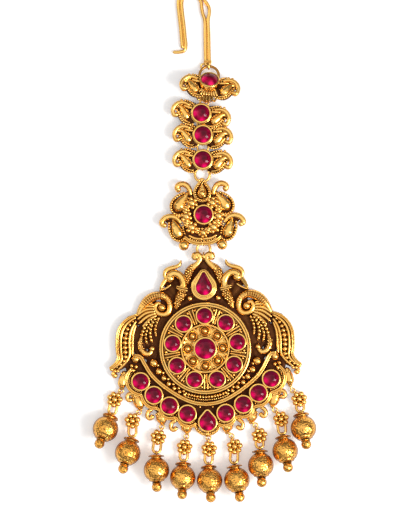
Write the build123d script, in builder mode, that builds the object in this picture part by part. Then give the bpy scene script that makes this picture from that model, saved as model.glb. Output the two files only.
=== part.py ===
from build123d import *

import os
from math import acos, atan2, cos, radians, sin, sqrt

# A maang tikka, laid face up: a hair hook, four winged links, a rosette link and a
# crescent pendant fringed with nine balls.  Origin: centre of the medallion on the
# pendant's back; +X right, +Y towards the hook, +Z out of the face.  Millimetres.

# Pendant
plate_thick = 1.0  # back plate
foot_z = 0.5  # raised work starts at this height, inside the plate
relief_inset = 0.08  # of a raised scroll from the edge of its plate
step_in = 0.02  # of a bezel's upper part from the part below
medallion_r = 10.1
medallion_rim_wide = 0.9
medallion_rim_high = 2.2
medallion_floor_high = 1.4
ring_stones = 9
ring_stones_r = 7.2  # circle that the small stones stand on
ring_stone_r = 1.6
ring_bezel_r = 1.95
boss_r = 5.4
boss_ring_wide = 0.35
boss_high = 2.7
boss_beads = 8
boss_beads_r = 3.75
boss_bead_r = 0.75
boss_bead_z = 2.1
rib_long = 3.9  # between two stones of the medallion
rib_wide = 0.7
rib_r = 7.2  # from the medallion's centre to a rib's middle
centre_stone_r = 2.2
centre_bezel_r = 2.6
centre_bezel_high = 3.3
relief_high = 2.0
ridge_high = 2.3
crescent_stone_r = 1.7
crescent_bezel_r = 2.12
crescent_bezel_high = 2.2
scallop_high = 1.6
scallop_foot = 0.4
scallop_inset = 0.05
string_high = 1.4
fringe_curl_high = 1.3
top_pear_lip = 2.6
top_pear_step_high = 2.0
top_pear = (1.7, 13.4, 16.3, 0.35)  # half width, y of the round end, y and radius of the point
low_pear = (1.75, -16.2, -14.1, 0.4)
low_pear_x = 0.2
top_pear_bezel = (2.2, 13.5, 16.5, 0.4)
top_pear_step = (2.75, 13.6, 17.3, 0.4)
low_pear_bezel = (2.2, -16.2, -13.3, 0.5)
curl_low = 1.15  # underside of the top curls
curl_high = 2.2
hanger_r = 0.2  # half the width and height of the strip that holds an eyelet

# Stones
stone_gap = 0.04  # clearance of a stone in its bezel
stone_sunk = 0.9  # depth of a stone below its bezel's lip
stone_dome = 0.75  # height of a stone above its bezel's lip
seat_over = 1.2  # a seat is cut clear this far above its lip
pear_round = 0.8  # edge radius of a pear stone against the radius of its point

# Links and rings
link_lift = 1.0  # height of a link's plate over its back loops
link_plate_thick = 0.8
link_stone_r = 1.77
link_bezel_r = 2.22
link_bezel_high = 1.5  # above the underside of the plate
link_wing_high = 1.3
loop_wire_r = 0.2
loop_r = 0.8
loop_from_centre = 1.5
loop_rise = 0.1  # of a loop's centre over the underside of its plate
leaf_high = 1.1
leaf_inset = 0.2
wing_foot = 0.3  # raised work starts at this height over the underside
ring_wire_r = 0.2
rosette_stone_r = 1.82
rosette_bezel_high = 1.6
rosette_ball_r = 1.15
rosette_ball_z = 1.0
rosette_dome_r = 1.0
wreath_z = 0.9
rosette_pear = (1.7, 34.2, 36.4, 0.35)
rosette_pear_x = 0.05
rosette_loop_x = 0.1
ring_z = 0.75  # height of the small rings' wire

# Hair hook and its ring
hook_wire_r = 0.365
hook_end_swell = 1.1  # a strand's tip against its wire
hook_curl_wire_r = 0.22
hook_ring_r = 2.1
hook_ring_wire_r = 0.3
hook_ring_tilt = 15.0
hook_eye_r = 0.65
hook_eye_wire_r = 0.26
hook_z = 0.42
hook_web_thick = 0.2  # solder between the two strands

# Drops
ball_r = 2.85
eye_from_ball = 3.75
eye_r = 0.42
eye_wire_r = 0.16
finial_r = 1.1
finial_from_ball = 3.7
flower_ring_r = 1.15
flower_bead_r = 0.52
flower_petals = 7
flower_disc_thick = 0.4
flower_disc_over = 0.15  # past the circle of the petals' centres
flower_petal_z = 0.1
flower_bead_z = 0.12
flower_hook = 1.85  # from the flower's centre to the wire of the pendant's eyelet, in plan
eyelet_r = 0.5
eyelet_wire_r = 0.17
eyelet_z = 0.65
u_loop_wide = 1.6
u_loop_top = -0.9  # the loop's legs start under the flower
u_loop_wire_r = 0.16

# Scrolls of the left half of the pendant, as rows of x, y and half the width.
# The right half mirrors them.
S_SCROLL = [
    (-2.9, 14.4, 0.5), (-3.05, 16.2, 0.75), (-2.6, 17.3, 0.8), (-1.6, 18.4, 0.65), (-0.85, 19.1, 0.5),
]
S_CURL = [
    (-0.85, 19.1, 0.5), (-0.65, 20.0, 0.45), (-1.15, 20.55, 0.5), (-1.9, 20.3, 0.5), (-1.75, 19.8, 0.4),
]
CREST = [
    (-4.9, 19.2, 0.3), (-5.1, 18.5, 0.4), (-5.9, 18.0, 0.45), (-7.2, 17.7, 0.5), (-8.2, 17.2, 0.5),
    (-8.5, 16.2, 0.45), (-7.8, 15.8, 0.6),
]
PEACOCK_NECK = [
    (-7.4, 15.7, 1.1), (-6.3, 16.4, 0.85), (-5.2, 15.9, 0.85), (-4.6, 14.9, 0.85), (-4.6, 13.6, 0.9),
]
PEACOCK_BODY = [(-4.7, 13.2, 1.1), (-4.9, 12.2, 1.25), (-5.6, 11.0, 1.0), (-5.9, 9.9, 0.7), (-6.1, 8.9, 0.6)]
COLLAR = [(-5.9, 13.5, 0.4), (-3.0, 12.9, 0.45)]
BACK_WEB = [(-6.3, 9.2, 0.8), (-7.5, 8.4, 0.8), (-8.6, 7.2, 0.5)]
BEAK = [(-8.1, 15.3, 0.55), (-9.0, 14.2, 0.45), (-9.5, 12.7, 0.4)]
LOWER_BEAK = [(-7.4, 14.2, 0.35), (-8.3, 13.3, 0.3), (-9.3, 12.8, 0.3)]
SPIRAL = [
    (-9.4, 9.4, 0.5), (-9.9, 9.9, 0.4), (-10.5, 9.6, 0.4), (-10.6, 8.9, 0.45), (-10.1, 8.1, 0.5),
    (-8.9, 7.9, 0.55), (-7.9, 8.8, 0.6), (-7.8, 9.9, 0.6), (-8.3, 11.0, 0.7), (-9.2, 11.6, 0.8),
    (-10.5, 11.6, 0.9), (-12.0, 11.0, 0.9), (-13.2, 9.9, 0.75), (-14.0, 8.8, 0.55), (-14.6, 7.9, 0.45),
]
FEATHERS = [
    (-10.9, 9.0, 0.7), (-12.6, 8.7, 1.5), (-13.4, 7.4, 1.3), (-12.4, 6.6, 1.0),
]
FEATHER_TIPS = [
    [(-12.6, 9.3, 0.7), (-14.3, 7.9, 0.35)],
    [(-13.0, 8.0, 0.7), (-14.5, 6.1, 0.35)],
    [(-12.4, 7.0, 0.7), (-13.6, 5.0, 0.35)],
]
STRINGS = [
    [
        (-11.9, 6.6, 0.45), (-12.9, 5.3, 0.4), (-13.6, 3.8, 0.4), (-14.0, 2.2, 0.45), (-14.15, 0.8, 0.5),
        (-13.7, -0.4, 0.55), (-12.8, -1.0, 0.55), (-11.9, -0.7, 0.5), (-11.6, 0.1, 0.6),
    ],
    [(-11.3, 7.0, 0.4), (-11.8, 5.3, 0.4), (-12.1, 3.9, 0.4), (-12.0, 2.6, 0.4), (-11.6, 1.6, 0.4)],
    [(-10.2, 7.7, 0.4), (-10.5, 5.5, 0.4), (-10.6, 4.3, 0.4), (-10.4, 3.0, 0.4)],
]
WING = [
    (-14.9, 7.5, 0.5), (-16.0, 6.4, 0.9), (-17.2, 5.2, 1.3), (-17.8, 3.6, 1.5), (-18.0, 1.8, 1.6),
    (-17.9, 0.0, 1.6), (-17.8, -1.4, 1.5), (-18.2, -2.8, 1.3), (-19.1, -3.7, 1.0), (-20.7, -4.2, 0.45),
]
WING_LOW = [(-15.4, 6.2, 0.5), (-15.9, 4.6, 0.5), (-16.2, 2.0, 0.5), (-16.2, -1.2, 0.6), (-15.4, -1.8, 0.8)]
WING_RIB = [
    (-15.0, 7.7, 0.3), (-16.6, 7.0, 0.3), (-18.2, 5.6, 0.3), (-19.1, 3.8, 0.3), (-19.3, 1.8, 0.3),
    (-19.2, -0.3, 0.3), (-19.1, -1.6, 0.3), (-19.7, -2.8, 0.3), (-20.8, -3.9, 0.3),
]
CRESCENT_RIDGE = [
    (-15.2, -1.6, 0.45), (-14.3, -1.6, 0.4), (-13.5, -2.8, 0.4), (-12.7, -4.3, 0.4), (-11.6, -5.9, 0.4),
    (-10.2, -7.3, 0.4), (-8.6, -8.5, 0.4), (-6.8, -9.8, 0.4), (-4.6, -11.1, 0.4), (-2.4, -11.9, 0.4),
    (0.0, -12.2, 0.4),
]
CRESCENT_BODY = [
    (-15.2, -2.2, 1.2), (-14.9, -4.0, 1.6), (-14.3, -6.7, 2.9), (-11.45, -9.9, 2.9), (-8.1, -12.3, 2.8),
    (-4.2, -14.2, 2.6), (0.0, -15.0, 2.9),
]
INNER_BEADS = [
    (-11.5, -3.1, 0.85), (-10.4, -4.9, 0.7), (-9.3, -6.35, 0.6), (-8.2, -7.6, 0.55), (-7.0, -8.6, 0.5),
    (-5.8, -9.4, 0.45), (-4.6, -10.1, 0.4), (-3.5, -10.5, 0.4), (-2.4, -10.85, 0.4), (-1.2, -11.1, 0.4),
    (0.0, -11.2, 0.4),
]
CHANNEL = [
    (-12.0, -3.2, 1.2), (-10.6, -5.4, 1.1), (-8.7, -7.6, 1.1), (-6.0, -9.7, 1.1), (-3.0, -11.1, 1.0),
    (0.0, -11.5, 1.0),
]
SCALLOPS = [
    [
        (-16.0, -4.4, 0.4), (-17.2, -5.6, 0.38), (-17.3, -7.2, 0.38), (-16.7, -8.6, 0.38),
        (-15.5, -9.6, 0.38), (-14.3, -10.0, 0.38),
    ],
    [
        (-14.3, -10.0, 0.38), (-13.9, -11.0, 0.38), (-13.1, -12.1, 0.38), (-12.0, -12.8, 0.38),
        (-10.9, -12.95, 0.38), (-10.3, -13.4, 0.38),
    ],
    [
        (-10.3, -13.4, 0.38), (-9.8, -14.3, 0.38), (-9.0, -15.0, 0.38), (-7.8, -15.3, 0.38),
        (-6.8, -15.2, 0.38), (-6.3, -15.6, 0.38),
    ],
    [
        (-6.3, -15.6, 0.38), (-5.6, -16.4, 0.38), (-4.6, -17.0, 0.38), (-3.5, -17.1, 0.38),
        (-2.5, -16.6, 0.38),
    ],
]
BUDS = [
    [(-17.9, -6.2, 0.6), (-18.2, -7.3, 0.75), (-18.35, -8.2, 0.5)],
    [(-14.9, -10.6, 0.8), (-14.8, -12.2, 0.85), (-14.5, -13.0, 0.5)],
    [(-9.9, -14.9, 0.9), (-9.8, -15.6, 0.9), (-9.7, -16.2, 0.5)],
    [(-4.5, -17.0, 1.1), (-4.3, -17.7, 0.9), (-4.4, -18.4, 0.5)],
]
CURLS = [
    [(-16.0, -9.6, 0.4), (-16.9, -9.9, 0.35), (-17.2, -10.7, 0.35), (-16.6, -11.1, 0.45)],
    [(-12.3, -13.2, 0.4), (-12.9, -14.1, 0.35), (-12.6, -15.0, 0.4), (-11.8, -14.8, 0.45)],
    [(-7.0, -15.6, 0.4), (-7.8, -16.5, 0.35), (-7.6, -17.5, 0.4), (-6.8, -17.5, 0.45)],
]
WING_CURL = [(-20.0, -5.4, 0.65), (-20.0, -4.3, 0.5)]
WING_KNOB = [(-15.2, -2.0, 0.95)]
BOTTOM_BUD = [(0.2, -18.1, 1.0), (0.2, -18.8, 0.5)]
TOP_PEAR_PLATE = [(0, 11.0, 2.6), (0, 14.0, 2.9), (0, 17.8, 0.4)]
CURL_BAR = [(-1.9, 20.2, 0.35), (1.9, 20.2, 0.35)]
PENDANT_LOOP = (0.1, 20.2)
CRESCENT_STONES = [(14.3, -6.95), (11.45, -10.0), (8.1, -12.4), (4.2, -14.25)]

# One wing of a link from its stone's centre, and the parts of the rosette link, as rows
# of x, y and half the width.
LINK_OUTER = [
    (1.6, 1.0, 0.8), (3.4, 1.2, 0.8), (4.9, 0.7, 0.75), (5.95, -0.3, 0.6), (6.2, -1.3, 0.5),
    (5.6, -1.75, 0.45),
]
LINK_LEAF = [(4.4, 0.3, 0.7), (3.4, -1.0, 1.0), (2.5, -1.7, 0.75), (1.6, -1.75, 0.5)]
TAIL = [(0.2, 1.8, 2.0), (-0.1, -0.3, 1.1)]
ROSETTE_LOOPS = (36.4, 23.3)
ROSETTE_PLATE = (0.1, 28.7, 4.4)
ROSETTE_WEB = [
    [(0, 31.0, 2.2), (0.05, 34.2, 1.8), (0.02, 36.6, 0.4)],
    [(-2.2, 32.6, 1.2), (2.2, 32.6, 1.2)],
    [(-3.9, 25.2, 1.8), (3.9, 25.2, 1.8)],
    [(-4.9, 29.2, 1.2), (4.9, 29.2, 1.2)],
]
ROSETTE_LEAVES = [
    [(5.1, 35.0, 0.6), (5.1, 35.7, 0.5), (4.4, 36.0, 0.5), (3.4, 35.3, 0.5), (2.9, 34.2, 0.5)],
    [(2.9, 34.2, 0.5), (3.8, 33.2, 0.9), (5.0, 32.4, 1.2), (5.5, 31.4, 1.5), (5.6, 30.2, 0.9)],
    [(8.4, 27.1, 0.6), (9.05, 27.9, 0.5), (8.2, 28.7, 0.5), (6.9, 28.5, 0.7), (5.9, 27.2, 1.1)],
    [(5.9, 27.2, 1.1), (5.6, 25.6, 1.5), (5.9, 24.4, 0.8)],
]
ROSETTE_SWAG = [(0.2, 23.0, 0.4), (2.0, 23.3, 0.4), (3.6, 24.1, 0.5)]
ROSETTE_BALL = (4.2, 22.65)
ROSETTE_CENTRE = (0.28, 29.3)
WREATH = [(2.5, 31.6, 0.8), (3.8, 29.0, 0.8), (2.75, 26.4, 0.85), (0.0, 25.3, 0.85)]

# Links from the pendant upwards: stone centre and turn about the vertical
LINKS = {"link_4": (0.33, 41.35, -3.8), "link_3": (0.46, 46.8, -4.4), "link_2": (0.2, 51.5, -12.0)}

# The top link leans on the ring behind it: its plate and its stone tip towards the hook
TOP_PLATE = (2.2, 57.1, 2.75)
TOP_STONE = (2.2, 58.7, 4.3)
TOP_TURN = -7.0
TOP_PLATE_TILT = 18.0
TOP_STONE_TILT = 38.0
TOP_TAIL = (1.5, 55.3, 2.15)
TOP_TAIL_TILT = -33.0
TOP_BEZEL_DEEP = 1.5
TOP_LOOP = Vector(2.1, 57.77, 2.62)
TOP_LOOP_R = 1.15
TAIL_LOOP = Vector(1.3, 54.7, 1.1)
HOOK_RING_CENTRE = (2.1, 59.8, 1.5)
HOOK_EYE = Vector(2.05, 61.83, 0.95)

# Hair hook: the two strands of its wire, from the lower eye over the bow to the tip.
# They part below the bow and leave a small oval eye between them.
HOOK_OUTER = [
    (2.2, 62.35), (2.2, 72.8), (2.45, 74.5), (1.3, 76.8), (-0.4, 78.7), (-2.9, 78.9), (-4.3, 76.9),
    (-4.26, 74.0), (-3.91, 70.5), (-3.64, 66.2),
]
HOOK_INNER = [
    (1.42, 62.35), (1.42, 72.5), (0.85, 74.5), (0.65, 76.36), (-0.77, 77.95), (-2.52, 78.09), (-3.52, 76.66),
    (-3.48, 74.0), (-3.13, 70.5), (-2.86, 66.2), (-3.3, 65.15), (-5.4, 65.15),
]
HOOK_WEBS = [(0, 2), (3, 10)]  # rows of both strands between which solder joins them
HOOK_BEND_R = 0.55
HOOK_CURL = (0.85, 61.95, 0.42)
# Half section of the ball's cap, as distance from the axis and distance from the ball's centre
CAP_PROFILE = [(0, 2.4), (1.1, 2.4), (1.1, 3.0), (1.75, 2.9), (1.75, 3.12), (1.1, 3.38), (0, 3.45)]

# Drops from left to right: flower centre, ball centre, the ball's lean in plan, the dip of
# its cap and the heading of the flower's hook, in degrees
DROPS = [
    (-20.1, -10.85, -22.15, -17.1, -23.0, 28.0, 37.0),
    (-16.3, -15.6, -17.4, -22.4, -17.0, 20.0, 39.0),
    (-10.7, -19.3, -11.2, -26.3, 0.0, 8.0, 21.0),
    (-5.0, -21.6, -5.5, -28.1, -3.0, 20.0, 12.0),
    (0.4, -22.1, 0.35, -28.9, 3.0, 19.0, -2.0),
    (6.0, -21.7, 6.3, -28.9, 9.0, 10.0, -15.0),
    (11.5, -19.4, 11.6, -25.75, 2.0, 12.0, -20.0),
    (16.3, -15.9, 17.0, -22.7, 8.0, 16.0, -33.0),
    (20.4, -11.6, 21.1, -17.85, 8.0, 22.0, -36.0),
]

os.makedirs("parts", exist_ok=True)


def save(piece, name):
    """Label a finished piece and write it to its own file."""
    piece.label = name
    export_step(piece, "parts/" + name + ".step")


def mirrored(rows):
    """The same rows on the other side of the middle line."""
    return [(-row[0], *row[1:]) for row in rows]


def both_sides(tables):
    """Each table of the left half, and its mirror image."""
    return [side for rows in tables for side in (rows, mirrored(rows))]


def taper(start, end):
    """The faces of a strip that runs from one circle to another of another size."""
    (x1, y1, r1), (x2, y2, r2) = start, end
    run = sqrt((x2 - x1) ** 2 + (y2 - y1) ** 2)
    if run <= abs(r1 - r2):
        x, y, r = max(start, end, key=lambda circle: circle[2])
        return [Pos(x, y) * Circle(r, mode=Mode.PRIVATE)]
    heading = atan2(y2 - y1, x2 - x1)
    lean = acos((r1 - r2) / run)
    corners = []
    for turn, (x, y, r) in ((lean, start), (lean, end), (-lean, end), (-lean, start)):
        corners.append((x + r * cos(heading + turn), y + r * sin(heading + turn)))
    ends = [Pos(x, y) * Circle(r, mode=Mode.PRIVATE) for x, y, r in (start, end)]
    return [Polygon(*corners, align=None, mode=Mode.PRIVATE), *ends]


def outline(tables, inset=0.0):
    """The flat outline of one scroll or more, whose widths follow their rows."""
    faces = []
    for rows in tables:
        narrowed = [(x, y, r - inset) for x, y, r in rows]
        for start, end in zip(narrowed, narrowed[1:]):
            faces.extend(taper(start, end))
    with BuildSketch() as shape:
        add(faces)
    return shape.sketch


def raised(tables, high, low=foot_z, inset=relief_inset):
    """Flat-topped scrolls that stand in the plate below them."""
    with BuildPart() as relief:
        with BuildSketch(Plane.XY.offset(low)):
            add(outline(tables, inset))
        extrude(amount=high - low)
    return relief.part


def discs(places, radius, high, low=foot_z):
    """Round posts of one size."""
    with BuildPart() as posts:
        with BuildSketch(Plane.XY.offset(low)):
            with Locations(*places):
                Circle(radius)
        extrude(amount=high - low)
    return posts.part


def stone_seats(places, radius, lip):
    """What is cut from a bezel to seat round stones, down from its lip."""
    return discs(places, radius + stone_gap, lip + seat_over, lip - stone_sunk - stone_gap)


def boss_bead_places():
    """Where the balls of the medallion's boss stand."""
    turns = [radians(360 / boss_beads * i) for i in range(boss_beads)]
    return [Pos(boss_beads_r * cos(turn), boss_beads_r * sin(turn), boss_bead_z) for turn in turns]


def beads(rows):
    """Balls that stand in the plate and clear of the floor plane."""
    return [Pos(x, y, max(r, plate_thick)) * Sphere(r, mode=Mode.PRIVATE) for x, y, r in rows]


def pear(half_wide, y_round, y_point, point_r, x, low, high):
    """A pear-shaped block, round at one end and narrow at the other."""
    with BuildPart() as block:
        with BuildSketch(Plane.XY.offset(low)):
            add(outline([[(x, y_round, half_wide), (x, y_point, point_r)]]))
        extrude(amount=high - low)
    return block.part


def turned_plane(origin, turn, tilt=0.0):
    """A plane turned about the vertical whose face tips towards its own +Y by the tilt."""
    ahead = Vector(-sin(radians(turn)), cos(radians(turn)), 0)
    across = Vector(cos(radians(turn)), sin(radians(turn)), 0)
    up = ahead * sin(radians(tilt)) + Vector(0, 0, cos(radians(tilt)))
    return Plane(origin=origin, x_dir=across, z_dir=up)


def pear_seat(pear_size, x, lip):
    """What is cut from a pear bezel to seat its stone."""
    half_wide, y_round, y_point, point_r = pear_size
    low = lip - stone_sunk - stone_gap
    return pear(half_wide + stone_gap, y_round, y_point, point_r + stone_gap, x, low, lip + seat_over)


def standing_ring(centre, along, ring_r, wire_r):
    """A ring that stands in the upright plane through a direction."""
    across = Vector(along.Y, -along.X, 0).normalized()
    return Plane(origin=centre, x_dir=along.normalized(), z_dir=across) * Torus(
        ring_r, wire_r, mode=Mode.PRIVATE
    )


def cabochon(plane, radius):
    """A round domed stone whose bezel's lip lies in the plane."""
    dome_r = (radius**2 + stone_dome**2) / (2 * stone_dome)
    with BuildPart() as stone:
        Cylinder(radius, stone_sunk + stone_dome, align=(Align.CENTER, Align.CENTER, Align.MIN))
        with Locations((0, 0, stone_sunk + stone_dome - dome_r)):
            Sphere(dome_r, mode=Mode.INTERSECT)
    return plane.offset(-stone_sunk) * stone.part


def pear_stone(half_wide, y_round, y_point, point_r, x, lip):
    """A pear stone with a rounded top."""
    with BuildPart() as stone:
        add(pear(half_wide, y_round, y_point, point_r, x, lip - stone_sunk, lip + stone_dome))
        fillet(stone.faces().sort_by(Axis.Z)[-1].edges(), radius=point_r * pear_round)
    return stone.part


# Where each drop's parts lie


def drop_frame(row):
    """Work out a drop's axis, its ball's eye, its flower and the eyelet it hangs from."""
    flower_x, flower_y, ball_x, ball_y, lean, dip, heading = row
    axis = Vector(
        -sin(radians(lean)) * cos(radians(dip)), cos(radians(lean)) * cos(radians(dip)), -sin(radians(dip))
    )
    ball = Vector(ball_x, ball_y, ball_r)
    eye = ball + axis * eye_from_ball
    plan = Vector(flower_x - eye.X, flower_y - eye.Y, 0)
    toward = Vector(sin(radians(heading)), cos(radians(heading)), 0)
    forward = flower_hook * toward.dot(plan.normalized())
    slope = (eyelet_z - eye.Z) / (plan.length + forward)
    flower = Vector(flower_x, flower_y, eye.Z + slope * plan.length)
    hook = Vector(flower_x, flower_y, 0) + toward * flower_hook + Vector(0, 0, eyelet_z)
    eyelet = hook + toward * eyelet_r
    return {
        "axis": axis, "ball": ball, "eye": eye, "flower": flower, "hook": hook, "toward": toward,
        "eyelet": eyelet,
    }


drop_frames = [drop_frame(row) for row in DROPS]

# Pendant: one soldered solid

SIDE_PLATES = [
    S_SCROLL, CREST, PEACOCK_NECK, PEACOCK_BODY, COLLAR, BACK_WEB, BEAK, LOWER_BEAK, SPIRAL, FEATHERS,
    WING, WING_LOW, CRESCENT_BODY, CHANNEL, INNER_BEADS, WING_CURL, *FEATHER_TIPS, *STRINGS, *SCALLOPS,
    *BUDS, *CURLS,
]
bud_ends = [rows[-1] for rows in BUDS]
hangers = bud_ends + [BOTTOM_BUD[-1]] + mirrored(bud_ends)[::-1]
crescent_stones = CRESCENT_STONES + mirrored(CRESCENT_STONES)
ring_bezel_high = boss_high - 0.1
ring_turns = [radians(90 + 360 / ring_stones * i) for i in range(ring_stones)]
ring_stone_places = [(ring_stones_r * cos(turn), ring_stones_r * sin(turn)) for turn in ring_turns]
side_beads = both_sides([PEACOCK_NECK, PEACOCK_BODY, INNER_BEADS[:-1], *BUDS, WING_KNOB, WING_CURL[:1]])

with BuildPart() as pendant:
    with BuildSketch():
        add(outline(SIDE_PLATES))
        mirror(about=Plane.YZ)
        Circle(medallion_r)
        add(outline([TOP_PEAR_PLATE, BOTTOM_BUD]))
    extrude(amount=plate_thick)
    add(raised(both_sides([S_SCROLL, CREST, SPIRAL, WING_RIB]), relief_high))
    add(raised(both_sides([BEAK, LOWER_BEAK, *FEATHER_TIPS, *STRINGS]), string_high))
    add(raised(both_sides([CRESCENT_RIDGE]), ridge_high))
    add(raised(both_sides(SCALLOPS), scallop_high, scallop_foot, scallop_inset))
    add(raised(both_sides(CURLS), fringe_curl_high))
    add([ball for rows in side_beads for ball in beads(rows)] + beads(BOTTOM_BUD))

    # the medallion: rim, floor, boss ring, ribs and bezels
    with BuildSketch(Plane.XY.offset(foot_z)):
        Circle(medallion_r - scallop_inset)
    extrude(amount=medallion_rim_high - foot_z)
    with BuildSketch(Plane.XY.offset(medallion_rim_high)):
        Circle(medallion_r - medallion_rim_wide)
    extrude(amount=medallion_floor_high - medallion_rim_high, mode=Mode.SUBTRACT)
    with BuildSketch(Plane.XY.offset(plate_thick)):
        Circle(boss_r)
        Circle(boss_r - boss_ring_wide, mode=Mode.SUBTRACT)
        Circle(centre_bezel_r)
        with Locations(*ring_stone_places):
            Circle(ring_bezel_r)
        with PolarLocations(rib_r, ring_stones, start_angle=90 - 180 / ring_stones):
            Rectangle(rib_long, rib_wide)
    extrude(amount=ring_bezel_high - plate_thick)
    add(discs([(0, 0)], centre_bezel_r - step_in, centre_bezel_high))
    add([place * Sphere(boss_bead_r, mode=Mode.PRIVATE) for place in boss_bead_places()])

    # the top pear and the crescent's bezels
    add(pear(*top_pear_step, 0, foot_z, top_pear_step_high))
    add(pear(*top_pear_bezel, 0, foot_z, top_pear_lip))
    add(discs(crescent_stones, crescent_bezel_r, crescent_bezel_high))
    add(pear(*low_pear_bezel, low_pear_x, foot_z, crescent_bezel_high))
    seats = [
        stone_seats([(0, 0)], centre_stone_r, centre_bezel_high),
        stone_seats(ring_stone_places, ring_stone_r, ring_bezel_high),
        stone_seats(crescent_stones, crescent_stone_r, crescent_bezel_high),
        pear_seat(top_pear, 0, top_pear_lip),
        pear_seat(low_pear, low_pear_x, crescent_bezel_high),
    ]
    add(seats, mode=Mode.SUBTRACT)

    # the curls at the top stand clear of the ring behind them, which a loop holds
    add(raised(both_sides([S_CURL]), curl_high, curl_low, 0))
    add(raised([CURL_BAR], relief_high, curl_low, 0))
    add(standing_ring(Vector(*PENDANT_LOOP, link_lift + loop_rise), Vector(0, 1, 0), loop_r, loop_wire_r))

    # eyelets for the nine drops
    for frame, (x, y, r) in zip(drop_frames, hangers):
        near = frame["eyelet"] + frame["toward"] * eyelet_r
        strip = [(x, y, r), (near.X, near.Y, hanger_r)]
        add(raised([strip], eyelet_z + hanger_r, eyelet_z - hanger_r, 0))
        add(Pos(frame["eyelet"]) * Torus(eyelet_r, eyelet_wire_r, mode=Mode.PRIVATE))

save(pendant.part, "pendant")


# Links: a plate with two wings and a bezel, and two loops under it for the rings


def link_loops():
    """The two loops under a link, one towards each end."""
    places = [Vector(0, side * loop_from_centre, loop_rise) for side in (1, -1)]
    return [standing_ring(place, Vector(0, 1, 0), loop_r, loop_wire_r) for place in places]


with BuildPart() as plain_link:
    with BuildSketch():
        Circle(link_bezel_r)
        add(outline(both_sides([LINK_OUTER, LINK_LEAF])))
    extrude(amount=link_plate_thick)
    add(raised(both_sides([LINK_OUTER]), link_wing_high, wing_foot))
    add(raised(both_sides([LINK_LEAF]), leaf_high, wing_foot, leaf_inset))
    add(discs([(0, 0)], link_bezel_r - step_in, link_bezel_high, wing_foot))
    add(link_loops())
    add(stone_seats([(0, 0)], link_stone_r, link_bezel_high), mode=Mode.SUBTRACT)

link_places = {name: turned_plane((x, y, link_lift), turn) for name, (x, y, turn) in LINKS.items()}
loop_middles = {}
for name, place in link_places.items():
    save(place * plain_link.part, name)
    save(cabochon(place.offset(link_bezel_high), link_stone_r), "ruby_" + name)
    loop_middles[name] = [
        place.from_local_coords(Vector(0, side * loop_from_centre, ring_z - link_lift)) for side in (1, -1)
    ]

# The top link: its plate leans back, its stone leans further, and a tail runs down from it

top_plane = turned_plane(TOP_PLATE, TOP_TURN, TOP_PLATE_TILT)
top_lip = turned_plane(TOP_STONE, TOP_TURN, TOP_STONE_TILT)
tail_plane = turned_plane(TOP_TAIL, TOP_TURN, TOP_TAIL_TILT)

with BuildPart() as top_link:
    with BuildSketch(top_plane):
        Circle(link_bezel_r)
        add(outline(both_sides([LINK_OUTER, LINK_LEAF])))
    extrude(amount=link_plate_thick)
    add(top_plane * raised(both_sides([LINK_OUTER]), link_wing_high, wing_foot))
    add(top_plane * raised(both_sides([LINK_LEAF]), leaf_high, wing_foot, leaf_inset))
    with BuildSketch(top_lip):
        Circle(link_bezel_r)
    extrude(amount=-TOP_BEZEL_DEEP)
    with BuildSketch(tail_plane):
        add(outline([TAIL]))
    extrude(amount=link_plate_thick)
    add(standing_ring(TOP_LOOP, Vector(0, 1, 0), TOP_LOOP_R, loop_wire_r))
    add(standing_ring(TAIL_LOOP, Vector(0, 1, 0), loop_r, loop_wire_r))
    with BuildSketch(top_lip.offset(-stone_sunk - stone_gap)):
        Circle(link_stone_r + stone_gap)
    extrude(amount=stone_sunk + seat_over, mode=Mode.SUBTRACT)

save(top_link.part, "link_1")
save(cabochon(top_lip, link_stone_r), "ruby_link_1")

# The rosette link, in the pendant's own coordinates

rosette_base = Plane.XY.offset(link_lift)
rosette_x, rosette_y = ROSETTE_CENTRE
plate_x, plate_y, rosette_plate_r = ROSETTE_PLATE
ball_x, ball_y = ROSETTE_BALL
wreath_sides = [WREATH, mirrored(WREATH[:-1])]
swag_sides = both_sides([ROSETTE_SWAG, *ROSETTE_LEAVES])

with BuildPart() as rosette_link:
    with BuildSketch():
        with Locations((plate_x, plate_y)):
            Circle(rosette_plate_r)
        add(outline(swag_sides + ROSETTE_WEB))
    extrude(amount=link_plate_thick)
    add(raised(swag_sides, link_wing_high, wing_foot))
    add([Pos(x, y, wreath_z) * Sphere(r, mode=Mode.PRIVATE) for rows in wreath_sides for x, y, r in rows])
    for side in (-1, 1):
        add(Pos(side * ball_x, ball_y, rosette_ball_z) * Sphere(rosette_ball_r, mode=Mode.PRIVATE))
    add(pear(*rosette_pear, rosette_pear_x, wing_foot, link_wing_high))
    add(Pos(rosette_pear_x, rosette_pear[1], link_plate_thick) * Sphere(rosette_dome_r, mode=Mode.PRIVATE))
    add(discs([ROSETTE_CENTRE], link_bezel_r, rosette_bezel_high, wing_foot))
    for y in ROSETTE_LOOPS:
        add(standing_ring(Vector(rosette_loop_x, y, loop_rise), Vector(0, 1, 0), loop_r, loop_wire_r))
    add(stone_seats([ROSETTE_CENTRE], rosette_stone_r, rosette_bezel_high), mode=Mode.SUBTRACT)

save(rosette_base * rosette_link.part, "rosette_link")
rosette_lip = Plane((rosette_x, rosette_y, link_lift + rosette_bezel_high))
save(cabochon(rosette_lip, rosette_stone_r), "ruby_rosette_link")

# Rings between the links, each through the loops at its two ends


def ring_between(first, second, name):
    """A ring whose wire passes through two points."""
    middle = (first + second) * 0.5
    along = second - first
    across = Vector(along.Y, -along.X, 0).normalized()
    with BuildPart() as ring:
        add(
            Plane(origin=middle, x_dir=along.normalized(), z_dir=across.cross(along).normalized())
            * Torus(along.length / 2, ring_wire_r, mode=Mode.PRIVATE)
        )
    save(ring.part, name)


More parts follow.
